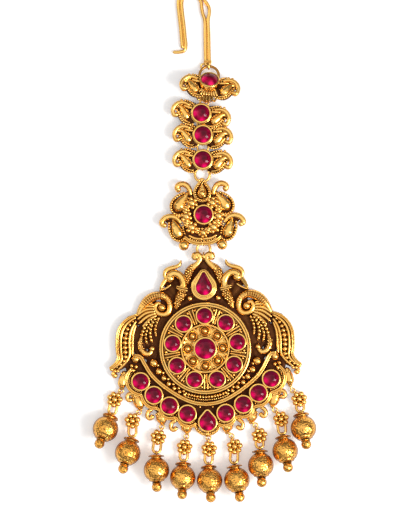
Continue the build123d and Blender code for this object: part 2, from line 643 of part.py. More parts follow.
rosette_top, rosette_low = [Vector(rosette_loop_x, y, ring_z) for y in ROSETTE_LOOPS]
ring_between(Vector(*PENDANT_LOOP, ring_z), rosette_low, "pendant_ring")
ring_between(rosette_top, loop_middles["link_4"][1], "rosette_ring")
ring_between(loop_middles["link_4"][0], loop_middles["link_3"][1], "link_ring_3")
ring_between(loop_middles["link_3"][0], loop_middles["link_2"][1], "link_ring_2")
ring_between(loop_middles["link_2"][0], Vector(TAIL_LOOP.X, TAIL_LOOP.Y, ring_z), "link_ring_1")

with BuildPart(turned_plane(HOOK_RING_CENTRE, 0, hook_ring_tilt)) as hook_ring:
    Torus(hook_ring_r, hook_ring_wire_r)
save(hook_ring.part, "hook_ring")

# Hair hook: one doubled wire with an eye at its foot


def wire(points, radius, bend):
    """A round wire along straight runs joined by arcs, with a round tip."""
    with BuildPart() as strand_part:
        with BuildLine() as route:
            FilletPolyline(*[(x, y, hook_z) for x, y in points], radius=bend)
        with BuildSketch(Plane(origin=route.line @ 0, z_dir=route.line % 0)):
            Circle(radius)
        sweep(path=route.line)
        add(Pos(route.line @ 1) * Sphere(radius * hook_end_swell, mode=Mode.PRIVATE))
    return strand_part.part


with BuildPart() as hair_hook:
    add(wire(HOOK_OUTER, hook_wire_r, HOOK_BEND_R))
    add(wire(HOOK_INNER, hook_wire_r, HOOK_BEND_R))
    with BuildSketch(Plane.XY.offset(hook_z - hook_web_thick / 2)):
        for first, last in HOOK_WEBS:
            with BuildLine():
                Polyline(*HOOK_OUTER[first:last], *reversed(HOOK_INNER[first:last]), close=True)
            make_face()
    extrude(amount=hook_web_thick)
    curl_x, curl_y, curl_r = HOOK_CURL
    add(Pos(curl_x, curl_y, hook_z) * Torus(curl_r, hook_curl_wire_r, mode=Mode.PRIVATE))
    add(standing_ring(HOOK_EYE, Vector(0, 1, 0), hook_eye_r, hook_eye_wire_r))

save(hair_hook.part, "hair_hook")

# Stones of the pendant

for number, (x, y) in enumerate(ring_stone_places, 1):
    lip = Plane((x, y, ring_bezel_high))
    save(cabochon(lip, ring_stone_r), "ruby_ring_" + str(number))
save(cabochon(Plane((0, 0, centre_bezel_high)), centre_stone_r), "ruby_centre")
for number, (x, y) in enumerate(sorted(crescent_stones), 1):
    save(cabochon(Plane((x, y, crescent_bezel_high)), crescent_stone_r), "ruby_crescent_" + str(number))
save(pear_stone(*top_pear, 0, top_pear_lip), "ruby_top_pear")
save(pear_stone(*low_pear, low_pear_x, crescent_bezel_high), "ruby_low_pear")

# Drops: a beaded flower with a hook above and a U loop below, and a ball under a cap


def flower_part(frame):
    """The flower of a drop, in the plane that rises from the eyelet to the ball's eye."""
    up = frame["flower"] - frame["eye"]
    across = Vector(up.Y, -up.X, 0).normalized()
    plane = Plane(origin=frame["flower"], x_dir=across, z_dir=across.cross(up).normalized())
    half = u_loop_wide / 2
    low = -up.length
    turns = [radians(360 / flower_petals * (i + 0.5) + 90) for i in range(flower_petals)]
    petals = [(flower_ring_r * cos(turn), flower_ring_r * sin(turn), flower_petal_z) for turn in turns]
    with BuildPart() as face:
        Cylinder(flower_ring_r + flower_disc_over, flower_disc_thick)
        with Locations(*petals, (0, 0, flower_bead_z)):
            Sphere(flower_bead_r, rotation=(90, 0, 0))
        with BuildLine() as route:
            Line((half, u_loop_top, 0), (half, half + low, 0))
            ThreePointArc((half, half + low, 0), (0, low, 0), (-half, half + low, 0))
            Line((-half, half + low, 0), (-half, u_loop_top, 0))
        with BuildSketch(Plane(origin=(half, u_loop_top, 0), z_dir=(0, -1, 0))):
            Circle(u_loop_wire_r)
        sweep(path=route.line)
    with BuildPart() as flower:
        add(plane * face.part)
        add(standing_ring(frame["hook"], frame["toward"], eye_r, eye_wire_r))
    return flower.part


def ball_part(frame):
    """The ball of a drop with its saucer cap, eye and finial, turned about the drop's axis."""
    axis = frame["axis"]
    across = Vector(axis.Y, -axis.X, 0).normalized()
    side = Plane(origin=frame["ball"], x_dir=across, z_dir=across.cross(axis))
    with BuildPart() as ball:
        with BuildSketch(side):
            with BuildLine():
                Polyline(*CAP_PROFILE, close=True)
            make_face()
        revolve(axis=Axis(frame["ball"], axis))
        add(Pos(frame["ball"]) * Sphere(ball_r, mode=Mode.PRIVATE))
        add(Pos(frame["ball"] - axis * finial_from_ball) * Sphere(finial_r, mode=Mode.PRIVATE))
        add(standing_ring(frame["eye"], axis, eye_r, eye_wire_r))
    return ball.part


for number, frame in enumerate(drop_frames, 1):
    save(flower_part(frame), "drop_flower_" + str(number))
    save(ball_part(frame), "drop_ball_" + str(number))
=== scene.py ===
import logging
import math
from collections.abc import Sequence
from dataclasses import dataclass, field, replace
from enum import Enum
from functools import cache

import bpy
import numpy as np
from mathutils import Euler, Matrix, Vector


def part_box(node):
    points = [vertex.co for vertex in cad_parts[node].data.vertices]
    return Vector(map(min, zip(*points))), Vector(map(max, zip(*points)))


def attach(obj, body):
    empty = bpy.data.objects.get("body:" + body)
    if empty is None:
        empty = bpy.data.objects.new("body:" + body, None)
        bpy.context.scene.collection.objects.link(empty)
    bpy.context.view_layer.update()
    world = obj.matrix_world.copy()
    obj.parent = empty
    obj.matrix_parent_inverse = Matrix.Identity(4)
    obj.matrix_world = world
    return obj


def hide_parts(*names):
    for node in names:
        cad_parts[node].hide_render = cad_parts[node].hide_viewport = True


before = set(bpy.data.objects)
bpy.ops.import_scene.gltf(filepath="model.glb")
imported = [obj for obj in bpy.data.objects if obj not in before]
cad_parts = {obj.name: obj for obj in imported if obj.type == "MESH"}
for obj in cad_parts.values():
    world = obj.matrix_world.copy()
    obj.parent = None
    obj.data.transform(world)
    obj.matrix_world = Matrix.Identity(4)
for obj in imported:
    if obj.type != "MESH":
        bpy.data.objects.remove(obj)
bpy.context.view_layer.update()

ROOT = "root"
MM = 0.001
FLOOR = -0.16  # height of the floor, level with the CAD model's lowest point
PLATE = 1.0  # top of the pendant's back plate
LINK_LIFT = 1.0  # underside of a link's plate
STONE_GAP = 0.04  # between a stone and its setting
SHEET_SHARE = 0.3  # how many of a welded sheet's faces are kept
LINE_STEPS = 12  # fine steps between two rows of a line
CURVE_STEPS = 5  # the same where it is drawn as a curve
ROUND_STEPS = 3  # fineness of a round section
STEEP = 1.02  # a scroll that rises over this many half widths has upright walls
WALL_DEPTH = 0.1  # how far such walls go below the foot
ROUND_ENDS = ((0.6, 0.78), (0.98, 0.15))  # reach past a scroll's end and width there, in end widths
GRANULE_GAP = 2.1  # between two granules, in their radii
log = logging.getLogger("maang_tikka")

Piece = bpy.types.Object
Tree = bpy.types.NodeTree
Node = bpy.types.Node
Socket = bpy.types.NodeSocket
Row = tuple[float, float, float]
Rows = Sequence[Row]
Spot = tuple[float, float]
Pear = tuple[float, float, float, float]  # half width, y of the round end, y and radius of the point


# Bench work: small tools that every sub-assembly uses. Shapes are modelled in millimetres.


def put_down() -> None:
    """Leave edit mode and deselect everything."""
    if bpy.context.object and bpy.context.object.mode != "OBJECT":
        bpy.ops.object.mode_set(mode="OBJECT")
    bpy.ops.object.select_all(action="DESELECT")


def pick_up(*pieces: Piece) -> None:
    """Select only these objects; the first becomes active.

    Args:
        pieces: The objects to work on.
    """
    put_down()
    for piece in pieces:
        piece.select_set(True)
    bpy.context.view_layer.objects.active = pieces[0]


def join(pieces: list[Piece], name: str) -> Piece:
    """Join meshes into one object.

    Args:
        pieces: Mesh objects in millimetres.
        name: Name of the joined object.

    Returns:
        The joined object.
    """
    pick_up(*pieces)
    if len(pieces) > 1:
        bpy.ops.object.join()
    joined = bpy.context.object
    joined.name = joined.data.name = name
    return joined


def face_outwards(piece: Piece) -> None:
    """Turn every closed shell's faces outwards.

    Args:
        piece: The piece.
    """
    pick_up(piece)
    bpy.ops.object.mode_set(mode="EDIT")
    bpy.ops.mesh.select_all(action="SELECT")
    bpy.ops.mesh.normals_make_consistent(inside=False)
    bpy.ops.object.mode_set(mode="OBJECT")


def apply_modifiers(piece: Piece) -> None:
    """Apply every modifier of a piece in its order.

    Args:
        piece: The piece.
    """
    pick_up(piece)
    for modifier in list(piece.modifiers):
        bpy.ops.object.modifier_apply(modifier=modifier.name)


def points_of(piece: Piece) -> np.ndarray:
    """Read a piece's points.

    Args:
        piece: The piece.

    Returns:
        Rows of x, y and z.
    """
    flat = np.empty(len(piece.data.vertices) * 3)
    piece.data.vertices.foreach_get("co", flat)
    return flat.reshape(-1, 3)


def move_points(piece: Piece, points: np.ndarray) -> None:
    """Give the piece's points new places."""
    piece.data.vertices.foreach_set("co", points.ravel())
    piece.data.update()


def new_mesh(name: str, points: np.ndarray, faces: list[tuple[int, ...]]) -> Piece:
    """Make a mesh object and link it to the scene.

    Args:
        name: Name of the object.
        points: Rows of x, y and z.
        faces: Corner numbers of each face, or of each edge where it has two.

    Returns:
        The new object.
    """
    mesh = bpy.data.meshes.new(name)
    edges = [face for face in faces if len(face) == 2]
    mesh.from_pydata([tuple(point) for point in points], edges, [face for face in faces if len(face) > 2])
    mesh.update()
    piece = bpy.data.objects.new(name, mesh)
    bpy.context.scene.collection.objects.link(piece)
    return piece


def place(x: float, y: float, z: float, heading: float, size: Row) -> Matrix:
    """Where a casting goes.

    Args:
        x: Across, in millimetres.
        y: Along, in millimetres.
        z: Up, in millimetres.
        heading: Turn about the vertical, in radians.
        size: Its size along its own axes.

    Returns:
        The matrix of the place.
    """
    return Matrix.LocRotScale(Vector((x, y, z)), Euler((0, 0, heading)), Vector(size))


def ball_at(x: float, y: float, z: float, radius: float) -> Matrix:
    """Where a ball of this radius goes."""
    return place(x, y, z, 0.0, (radius, radius, radius))


def round_about(count: int, radius: float, start: float = 0.0, x: float = 0.0, y: float = 0.0) -> list[Spot]:
    """Places at even steps round a middle.

    Args:
        count: How many.
        radius: Their distance from the middle.
        start: Bearing of the first, in degrees from +X.
        x: Across, of the middle.
        y: Along, of the middle.

    Returns:
        Rows of x and y.
    """
    angles = [math.radians(start + 360 / count * number) for number in range(count)]
    return [(x + radius * math.cos(angle), y + radius * math.sin(angle)) for angle in angles]


@dataclass
class Casting:
    """A small shape modelled once round the origin and cast as often as needed.

    Attributes:
        points: Its points, in millimetres.
        faces: Its faces.
    """

    points: np.ndarray
    faces: list[tuple[int, ...]]

    @classmethod
    def taken_from(cls, piece: Piece) -> "Casting":
        """Keep a modelled shape as a casting and clear the model away.

        Args:
            piece: The modelled shape.

        Returns:
            The casting.
        """
        points, faces = points_of(piece), [tuple(face.vertices) for face in piece.data.polygons]
        bpy.data.objects.remove(piece)
        return cls(points, faces)

    def cast(self, places: list[Matrix]) -> Piece:
        """Cast one copy at each place, all in one mesh.

        Args:
            places: The matrix of each copy.

        Returns:
            The object with all copies.
        """
        grids = [np.array(matrix) for matrix in places]
        copies = [self.points @ grid[:3, :3].T + grid[:3, 3] for grid in grids]
        starts = range(0, len(places) * len(self.points), len(self.points))
        faces = [tuple(corner + start for corner in face) for start in starts for face in self.faces]
        return new_mesh("casting", np.vstack(copies), faces)


def turn(profile: list[Spot], steps: int = 40, name: str = "turned") -> Piece:
    """Turn a half section about the upright axis, as on a lathe.

    Args:
        profile: Rows of distance from the axis and height.
        steps: How many divisions round the axis.
        name: Name of the new object.

    Returns:
        The closed, outward-facing shape.
    """
    points = np.array([(radius, 0.0, height) for radius, height in profile])
    piece = new_mesh(name, points, [(i, i + 1) for i in range(len(profile) - 1)])
    pick_up(piece)
    bpy.ops.object.mode_set(mode="EDIT")
    bpy.ops.mesh.select_all(action="SELECT")
    bpy.ops.mesh.spin(steps=steps, angle=math.tau, center=(0, 0, 0), axis=(0, 0, 1))
    bpy.ops.mesh.select_all(action="SELECT")
    bpy.ops.mesh.remove_doubles(threshold=0.001)
    bpy.ops.mesh.normals_make_consistent(inside=False)
    bpy.ops.object.mode_set(mode="OBJECT")
    return piece


def closed(profile: list[Spot]) -> list[Spot]:
    """A profile that ends where it starts."""
    return profile + profile[:1]


def wider(rows: Rows, share: float) -> Rows:
    """The same line, this many times as wide."""
    return [(x, y, r * share) for x, y, r in rows]


def walk(rows: Rows, step: float, start: float = 0.0) -> list[tuple[float, float, float, float]]:
    """Walk along a smooth line through the rows.

    Args:
        rows: Rows of x, y and half width.
        step: Distance between two stops.
        start: Distance of the first stop from the line's start.

    Returns:
        The stops, as rows of x, y, half width and heading.
    """
    ends = [rows[0], *rows, rows[-1]]
    fine = []
    for before, first, second, after in zip(ends, ends[1:], ends[2:], ends[3:]):
        a, b, c, d = (np.array(row) for row in (before, first, second, after))
        for share in np.linspace(0, 1, LINE_STEPS + 1)[:-1]:
            cubic = 2 * b + (c - a) * share + (2 * a - 5 * b + 4 * c - d) * share**2
            fine.append((cubic + (3 * b - a - 3 * c + d) * share**3) / 2)
    fine.append(np.array(rows[-1]))
    line = np.array(fine)
    runs = np.hypot(*np.diff(line[:, :2], axis=0).T)
    along = np.concatenate(([0], np.cumsum(runs)))
    stops = []
    for distance in np.arange(start, along[-1] + 1e-6, step):
        x, y, r = (float(np.interp(distance, along, line[:, k])) for k in range(3))
        spot = min(int(np.searchsorted(along, distance, side="right")) - 1, len(runs) - 1)
        run = line[spot + 1] - line[spot]
        stops.append((x, y, r, math.atan2(run[1], run[0])))
    return stops


class Section(Enum):
    """Cross-section of a scroll: rows of across and up, for one unit of width each side."""

    ROUND = ()
    RIDGE = (
        (-1, 0), (-0.93, 0.4), (-0.64, 0.7), (-0.3, 0.83), (-0.08, 0.94), (0, 1), (0.08, 0.94), (0.3, 0.83),
        (0.64, 0.7), (0.93, 0.4), (1, 0), (0.9, -0.5), (-0.9, -0.5),
    )
    BAND = (
        (-1, 0), (-0.98, 0.62), (-0.8, 0.9), (-0.52, 1), (-0.24, 0.88), (0, 0.66), (0.24, 0.88), (0.52, 1),
        (0.8, 0.9), (0.98, 0.62), (1, 0), (0.9, -0.5), (-0.9, -0.5),
    )


@dataclass
class Scroll:
    """A raised scroll, leaf or wire that follows a line and changes in width.

    Attributes:
        rows: Rows of x, y and half width along it.
        rise: Its height over its foot where it is widest.
        foot: Height of its middle plane.
        section: Its cross-section.
        low: It is flattened below this height.
        closed: Whether its end joins its start.
    """

    rows: Rows
    rise: float
    foot: float = PLATE
    section: Section = Section.ROUND
    low: float = 0.15
    closed: bool = False

    def mirrored(self) -> "Scroll":
        """The same scroll on the other side."""
        return replace(self, rows=[(-x, y, r) for x, y, r in self.rows])

    def rounded_rows(self) -> Rows:
        """Add rows at both ends, so that the ends are round.

        Returns:
            The rows with two more at each end.
        """
        if self.closed:
            return self.rows
        (x1, y1, r1), (x2, y2, _) = self.rows[:2]
        (x4, y4, r4), (x3, y3, _) = self.rows[-1], self.rows[-2]
        head = Vector((x1 - x2, y1 - y2)).normalized()
        tail = Vector((x4 - x3, y4 - y3)).normalized()
        start = [(x1 + head.x * r1 * past, y1 + head.y * r1 * past, r1 * wide) for past, wide in ROUND_ENDS[::-1]]
        end = [(x4 + tail.x * r4 * past, y4 + tail.y * r4 * past, r4 * wide) for past, wide in ROUND_ENDS]
        return [*start, *self.rows, *end]

    def make(self) -> Piece:
        """Draw the line as a curve, give it its section, and turn it into a mesh.

        Returns:
            The scroll's mesh, in millimetres.
        """
        put_down()
        bpy.ops.curve.primitive_bezier_curve_add(location=(0, 0, 0))
        piece = bpy.context.object
        curve = piece.data
        curve.splines.clear()
        rows = self.rounded_rows()
        spline = curve.splines.new("BEZIER")
        spline.bezier_points.add(len(rows) - 1)
        spline.use_cyclic_u = self.closed
        for point, (x, y, r) in zip(spline.bezier_points, rows):
            point.handle_left_type = point.handle_right_type = "AUTO"
            point.co = (x, y, 0)
            point.radius = r
        spline.resolution_u = CURVE_STEPS
        curve.twist_mode = "Z_UP"
        curve.use_fill_caps = not self.closed
        if self.section.value:
            curve.bevel_mode = "OBJECT"
            curve.bevel_object = section_curve(self.section)
        else:
            curve.bevel_depth = 1.0
            curve.bevel_resolution = ROUND_STEPS
        pick_up(piece)
        bpy.ops.object.convert(target="MESH")
        piece = bpy.context.object
        points = points_of(piece)
        widest = max(row[2] for row in self.rows)
        if self.rise > STEEP * widest:
            walls = points[:, 2] < (1 - STEEP) * widest
            points[:, 2] += self.foot + self.rise - widest
            points[walls, 2] = self.foot - WALL_DEPTH
        else:
            points[:, 2] = points[:, 2] * self.rise / widest + self.foot
        points[:, 2] = np.maximum(points[:, 2], self.low)
        move_points(piece, points)
        return piece


def section_curve(section: Section) -> Piece:
    """Draw a cross-section as a closed curve, once, and keep it for the next scroll.

    Args:
        section: The cross-section.

    Returns:
        The curve's object.
    """
    name = "section_" + section.name
    if name not in bpy.data.objects:
        curve = bpy.data.curves.new(name, "CURVE")
        spline = curve.splines.new("POLY")
        spline.points.add(len(section.value) - 1)
        for point, (across, up) in zip(spline.points, section.value):
            point.co = (across, up, 0, 1)
        spline.use_cyclic_u = True
        bpy.data.objects.new(name, curve)
    return bpy.data.objects[name]


def both(scrolls: list[Scroll]) -> list[Scroll]:
    """Each scroll and its mirror image."""
    return [side for scroll in scrolls for side in (scroll, scroll.mirrored())]


# Small castings, modelled once


def bead_casting(segments: int, rings: int) -> Casting:
    """Model a plain ball of radius 1.

    Args:
        segments: Its divisions round the axis.
        rings: Its divisions from pole to pole.

    Returns:
        The ball.
    """
    put_down()
    bpy.ops.mesh.primitive_uv_sphere_add(segments=segments, ring_count=rings, radius=1.0, location=(0, 0, 0))
    return Casting.taken_from(bpy.context.object)


def ball_casting() -> Casting:
    """Model a finer ball of radius 1 with a small pit in its crown.

    Returns:
        The ball.
    """
    outline = [(0.0, 0.93), (0.07, 0.91), (0.13, 0.96), (0.24, 0.97)]
    outline += [(math.sin(math.radians(a)), math.cos(math.radians(a))) for a in range(24, 180, 12)]
    return Casting.taken_from(turn(outline + [(0.0, -1.0)], 20))


def ring_casting(wire: float, sides: int) -> Casting:
    """Model a ring of radius 1 in the flat.

    Args:
        wire: Radius of its wire.
        sides: Its divisions round the axis.

    Returns:
        The ring.
    """
    put_down()
    bpy.ops.mesh.primitive_torus_add(
        major_radius=1.0, minor_radius=wire, major_segments=sides, minor_segments=8, location=(0, 0, 0)
    )
    return Casting.taken_from(bpy.context.object)


BEAD = bead_casting(8, 6)  # for granulation
PEARL = bead_casting(18, 12)  # for single beads
BALL = ball_casting()
RING = ring_casting(0.2, 20)
THICK_RING = ring_casting(0.32, 24)


def standing(x: float, y: float, z: float, size: float) -> Matrix:
    """Where a ring stands on edge, along the middle line.

    Args:
        x: Across, in millimetres.
        y: Along, in millimetres.
        z: Up, in millimetres.
        size: Its radius.

    Returns:
        The matrix of the place.
    """
    upright = Euler((math.pi / 2, 0, math.pi / 2)).to_matrix().to_4x4()
    return Matrix.Translation((x, y, z)) @ upright @ Matrix.Scale(size, 4)


def strung(rows: Rows, step: float, size: float, z: float, start: float = 0.0, off: float = 0.0) -> list[Matrix]:
    """Beads strung along a line.

    Args:
        rows: The line, as rows of x, y and half width.
        step: Distance between two beads.
        size: Radius of a bead.
        z: Height of the beads' centres.
        start: Distance of the first bead from the line's start.
        off: How far the string lies beside the line, to its left.

    Returns:
        A place for each bead.
    """
    return [
        place(x - off * math.sin(heading), y + off * math.cos(heading), z, heading, (size, size, size))
        for x, y, _, heading in walk(rows, step, start)
    ]


def graded(rows: Rows, step: float, z: float) -> list[Matrix]:
    """Beads along a line, each as wide as the line is there."""
    return [place(x, y, z, heading, (r, r, r)) for x, y, r, heading in walk(rows, step)]


def granules(scroll: Scroll, size: float) -> list[Matrix]:
    """Small beads that cover a scroll's back in staggered rows.

    Args:
        scroll: The scroll that carries them.
        size: Radius of a bead.

    Returns:
        A place for each bead.
    """
    widest = max(row[2] for row in scroll.rows)
    gap = size * GRANULE_GAP
    places = []
    for count, (x, y, r, heading) in enumerate(walk(scroll.rows, gap * 0.9)):
        lanes = max(int((r - 0.5 * size) / gap), 0)
        stagger = 0.5 if count % 2 else 0.0
        for lane in range(-lanes, lanes + 1):
            off = (lane + stagger) * gap
            if abs(off) > r - 0.4 * size:
                continue
            z = scroll.foot + scroll.rise * r / widest * math.sqrt(max(1 - (off / r) ** 2, 0))
            places.append(
                place(x - off * math.sin(heading), y + off * math.cos(heading), z, heading, (size, size, size))
            )
    return places


def ribs_across(rows: Rows, step: float, rise: float, foot: float, long: float) -> list[Matrix]:
    """Ribs that lie across a scroll.

    Args:
        rows: The scroll's line.
        step: Distance between two ribs.
        rise: The scroll's height over its foot.
        foot: Height of the scroll's middle plane.
        long: Length of a rib against the scroll's width.

    Returns:
        A place for each rib.
    """
    widest = max(row[2] for row in rows)
    return [
        place(x, y, foot, heading, (step * 0.42, r * long, rise * r / widest * 1.09))
        for x, y, r, heading in walk(rows, step)
    ]


def mirrored_places(places: list[Matrix]) -> list[Matrix]:
    """The same places and their mirror images."""
    flip = Matrix.Diagonal((-1, 1, 1, 1))
    return places + [flip @ spot for spot in places]


# Finishes


def feed(tree: Tree, node: Node, feeds: dict[str | int, object]) -> None:
    """Set a node's inputs, or link them to other nodes.

    Args:
        tree: The node tree.
        node: The node.
        feeds: A value, or another node's output, for each input.
    """
    for name, value in feeds.items():
        if isinstance(value, Socket):
            tree.links.new(value, node.inputs[name])
        else:
            node.inputs[name].default_value = value


def add_node(tree: Tree, kind: str, feeds: dict[str | int, object], **options: object) -> Node:
    """Add a shader node.

    Args:
        tree: The node tree.
        kind: The node's type, without its "ShaderNode".
        feeds: A value, or another node's output, for each input.
        options: The node's own options.

    Returns:
        The new node.
    """
    node = tree.nodes.new("ShaderNode" + kind)
    for name, option in options.items():
        setattr(node, name, option)
    feed(tree, node, feeds)
    return node


class Ramp(Enum):
    """How a value passes from one end of a range to the other."""

    SOFT = "SMOOTHSTEP"
    EVEN = "LINEAR"


Feed = Socket | float
Colour = tuple[float, float, float]


def spread(
    tree: Tree, value: Feed, start: Feed, end: Feed, low: float, high: float, ramp: Ramp = Ramp.SOFT
) -> Socket:
    """Map a value from one range to another and keep it inside.

    Args:
        tree: The node tree.
        value: The value.
        start: The value that gives `low`.
        end: The value that gives `high`.
        low: The result at `start`.
        high: The result at `end`.
        ramp: How it passes between them.

    Returns:
        The mapped value.
    """
    feeds = {"Value": value, "From Min": start, "From Max": end, "To Min": low, "To Max": high}
    return add_node(tree, "MapRange", feeds, interpolation_type=ramp.value).outputs["Result"]


def blend(tree: Tree, under: Socket | Colour, over: Colour, mask: Socket) -> Socket:
    """Lay a colour over another.

    Args:
        tree: The node tree.
        under: The colour below.
        over: The colour laid over it.
        mask: Where it lies, from 0 to 1.

    Returns:
        The blended colour.
    """
    below = under if isinstance(under, Socket) else (*under, 1)
    feeds = {"Factor": mask, "A": below, "B": (*over, 1)}
    return add_node(tree, "Mix", feeds, data_type="RGBA").outputs["Result"]


def place_on_object(tree: Tree) -> Socket:
    """The Object coordinates of the point that is shaded."""
    return add_node(tree, "TexCoord", {}).outputs["Object"]


def new_group(name: str, inputs: dict[str, float], outputs: tuple[str, ...]) -> tuple[Tree, Node, Node]:
    """Start a shader node group whose sockets are numbers.

    Args:
        name: Its name.
        inputs: Its inputs and their values.
        outputs: Its outputs.

    Returns:
        The group, its input node and its output node.
    """
    tree = bpy.data.node_groups.new(name, "ShaderNodeTree")
    for label, value in inputs.items():
        tree.interface.new_socket(name=label, in_out="INPUT", socket_type="NodeSocketFloat").default_value = value
    for label in outputs:
        tree.interface.new_socket(name=label, in_out="OUTPUT", socket_type="NodeSocketFloat")
    return tree, tree.nodes.new("NodeGroupInput"), tree.nodes.new("NodeGroupOutput")


@cache
def tarnish_group() -> Tree:
    """Tarnish: how dark the metal is where it is shut in, broken up by speckles.

    Returns:
        The node group.
    """
    inputs = {"Reach": 0.001, "Open": 0.8, "Shut": 0.35, "Speckle": 0.3}
    tree, given, out = new_group("tarnish", inputs, ("Tarnish",))
    openness = add_node(tree, "AmbientOcclusion", {"Distance": given.outputs["Reach"]}, samples=8)
    noise = add_node(tree, "TexNoise", {"Vector": place_on_object(tree), "Scale": 1400.0, "Detail": 3.0})
    centred = add_node(tree, "Math", {0: noise.outputs["Fac"], 1: 0.5}, operation="SUBTRACT")
    terms = {0: centred.outputs[0], 1: given.outputs["Speckle"], 2: openness.outputs["AO"]}
    broken = add_node(tree, "Math", terms, operation="MULTIPLY_ADD").outputs[0]
    feed(tree, out, {"Tarnish": spread(tree, broken, given.outputs["Shut"], given.outputs["Open"], 1.0, 0.0)})
    return tree


@cache
def grain_group() -> Tree:
    """Cast grain: a fine height for the bump and a slow change of tone.

    Returns:
        The node group.
    """
    tree, given, out = new_group("cast_grain", {"Scale": 3000.0, "Tone Scale": 400.0}, ("Height", "Tone"))
    where = place_on_object(tree)
    for scale, name, detail in (("Scale", "Height", 4.0), ("Tone Scale", "Tone", 2.0)):
        noise = add_node(tree, "TexNoise", {"Vector": where, "Scale": given.outputs[scale], "Detail": detail})
        feed(tree, out, {name: noise.outputs["Fac"]})
    return tree


@cache
def hammer_group() -> Tree:
    """Hammer marks: rounded cells as a height, and a mask of the dark pits between them.

    Returns:
        The node group.
    """
    tree, given, out = new_group("hammer_marks", {"Scale": 1800.0}, ("Height", "Pit"))
    feeds = {"Vector": place_on_object(tree), "Scale": given.outputs["Scale"]}
    cells = add_node(tree, "TexVoronoi", feeds, feature="F1")
    specks = add_node(tree, "TexNoise", {**feeds, "Detail": 2.0})
    pit = spread(tree, specks.outputs["Fac"], 0.56, 0.66, 0.0, 0.8)
    feed(tree, out, {"Height": cells.outputs["Distance"], "Pit": pit})
    return tree


def new_material(name: str) -> tuple[bpy.types.Material, Tree, Node]:
    """Start a material.

    Args:
        name: Its name.

    Returns:
        The material, its node tree and its shader.
    """
    made = bpy.data.materials.new(name)
    made.use_nodes = True
    return made, made.node_tree, made.node_tree.nodes["Principled BSDF"]


@dataclass(frozen=True)
class GoldFinish:
    """A gold-plated brass finish, bright where it is proud and tarnished where it is shut in, with painted shade on its
    steep sides.

    Attributes:
        name: Name of the material.
        bright: Colour of the proud metal.
        warm: Its second tone.
        dark: Colour of the tarnish.
        reach: How far round a point counts as shutting it in, in millimetres.
        open_at: Openness at which tarnish ends.
        shut_at: Openness at which tarnish is full.
        rough: Roughness of the bright metal.
        tarnished_rough: Roughness under full tarnish.
        tarnished_metal: How metallic full tarnish is.
        sheen: Strength of its clear reflections.
        grain: Height of the cast grain, in millimetres.
        grain_scale: Fineness of the grain.
        grain_strength: Strength of its bump.
        mark_size: Size of its hammer marks, in millimetres; 0 leaves it plain.
        mark_depth: Their depth, in millimetres.
        edge: Colour of the painted shade on its steep sides.
        side_shade_share: How much of that painted shade they take.
            side_shade_from, side_shade_to: Steepness against the view at which that painted shade starts and is full.
    """

    name: str
    bright: Colour = (1.0, 0.67, 0.22)
    warm: Colour = (0.93, 0.45, 0.07)
    dark: Colour = (0.055, 0.014, 0.003)
    reach: float = 1.1
    open_at: float = 0.72
    shut_at: float = 0.22
    rough: float = 0.24
    tarnished_rough: float = 0.62
    tarnished_metal: float = 0.45
    sheen: float = 0.15
    grain: float = 0.04
    grain_scale: float = 2200.0
    grain_strength: float = 0.7
    mark_size: float = 0.0
    mark_depth: float = 0.05
    # Painted shade: the colour that steep sides take.
    edge: Colour = (0.38, 0.12, 0.012)
    side_shade_share: float = 0.9
    side_shade_from: float = 0.22
    side_shade_to: float = 0.95

    @cache
    def material(self) -> bpy.types.Material:
        """Make the finish's material, once.

        Returns:
            The material.
        """
        made, tree, shader = new_material(self.name)
        limits = {"Reach": self.reach * MM, "Open": self.open_at, "Shut": self.shut_at}
        shut = add_node(tree, "Group", limits, node_tree=tarnish_group()).outputs["Tarnish"]
        grain = add_node(tree, "Group", {"Scale": self.grain_scale}, node_tree=grain_group())
        # Sides that are steep against the view take the edge colour: painted shade.
        steep = add_node(tree, "LayerWeight", {"Blend": 0.5}).outputs["Facing"]
        edge = spread(tree, steep, self.side_shade_from, self.side_shade_to, 0.0, self.side_shade_share)
        colour = blend(tree, self.bright, self.warm, grain.outputs["Tone"])
        colour = blend(tree, blend(tree, colour, self.edge, edge), self.dark, shut)
        height = {"Distance": self.grain * MM, "Strength": self.grain_strength, "Height": grain.outputs["Height"]}
        normal = add_node(tree, "Bump", height).outputs["Normal"]
        if self.mark_size:
            marks = add_node(tree, "Group", {"Scale": 1 / (self.mark_size * MM)}, node_tree=hammer_group())
            depth = {"Distance": self.mark_depth * MM, "Strength": 1.0, "Height": marks.outputs["Height"]}
            normal = add_node(tree, "Bump", {**depth, "Normal": normal}).outputs["Normal"]
            colour = blend(tree, colour, self.dark, marks.outputs["Pit"])
        feed(tree, shader, {
            "Base Color": colour, "Normal": normal, "Specular IOR Level": self.sheen,
            "Roughness": spread(tree, shut, 0.0, 1.0, self.rough, self.tarnished_rough, Ramp.EVEN),
            "Metallic": spread(tree, shut, 0.0, 1.0, 1.0, self.tarnished_metal, Ramp.EVEN),
        })
        return made


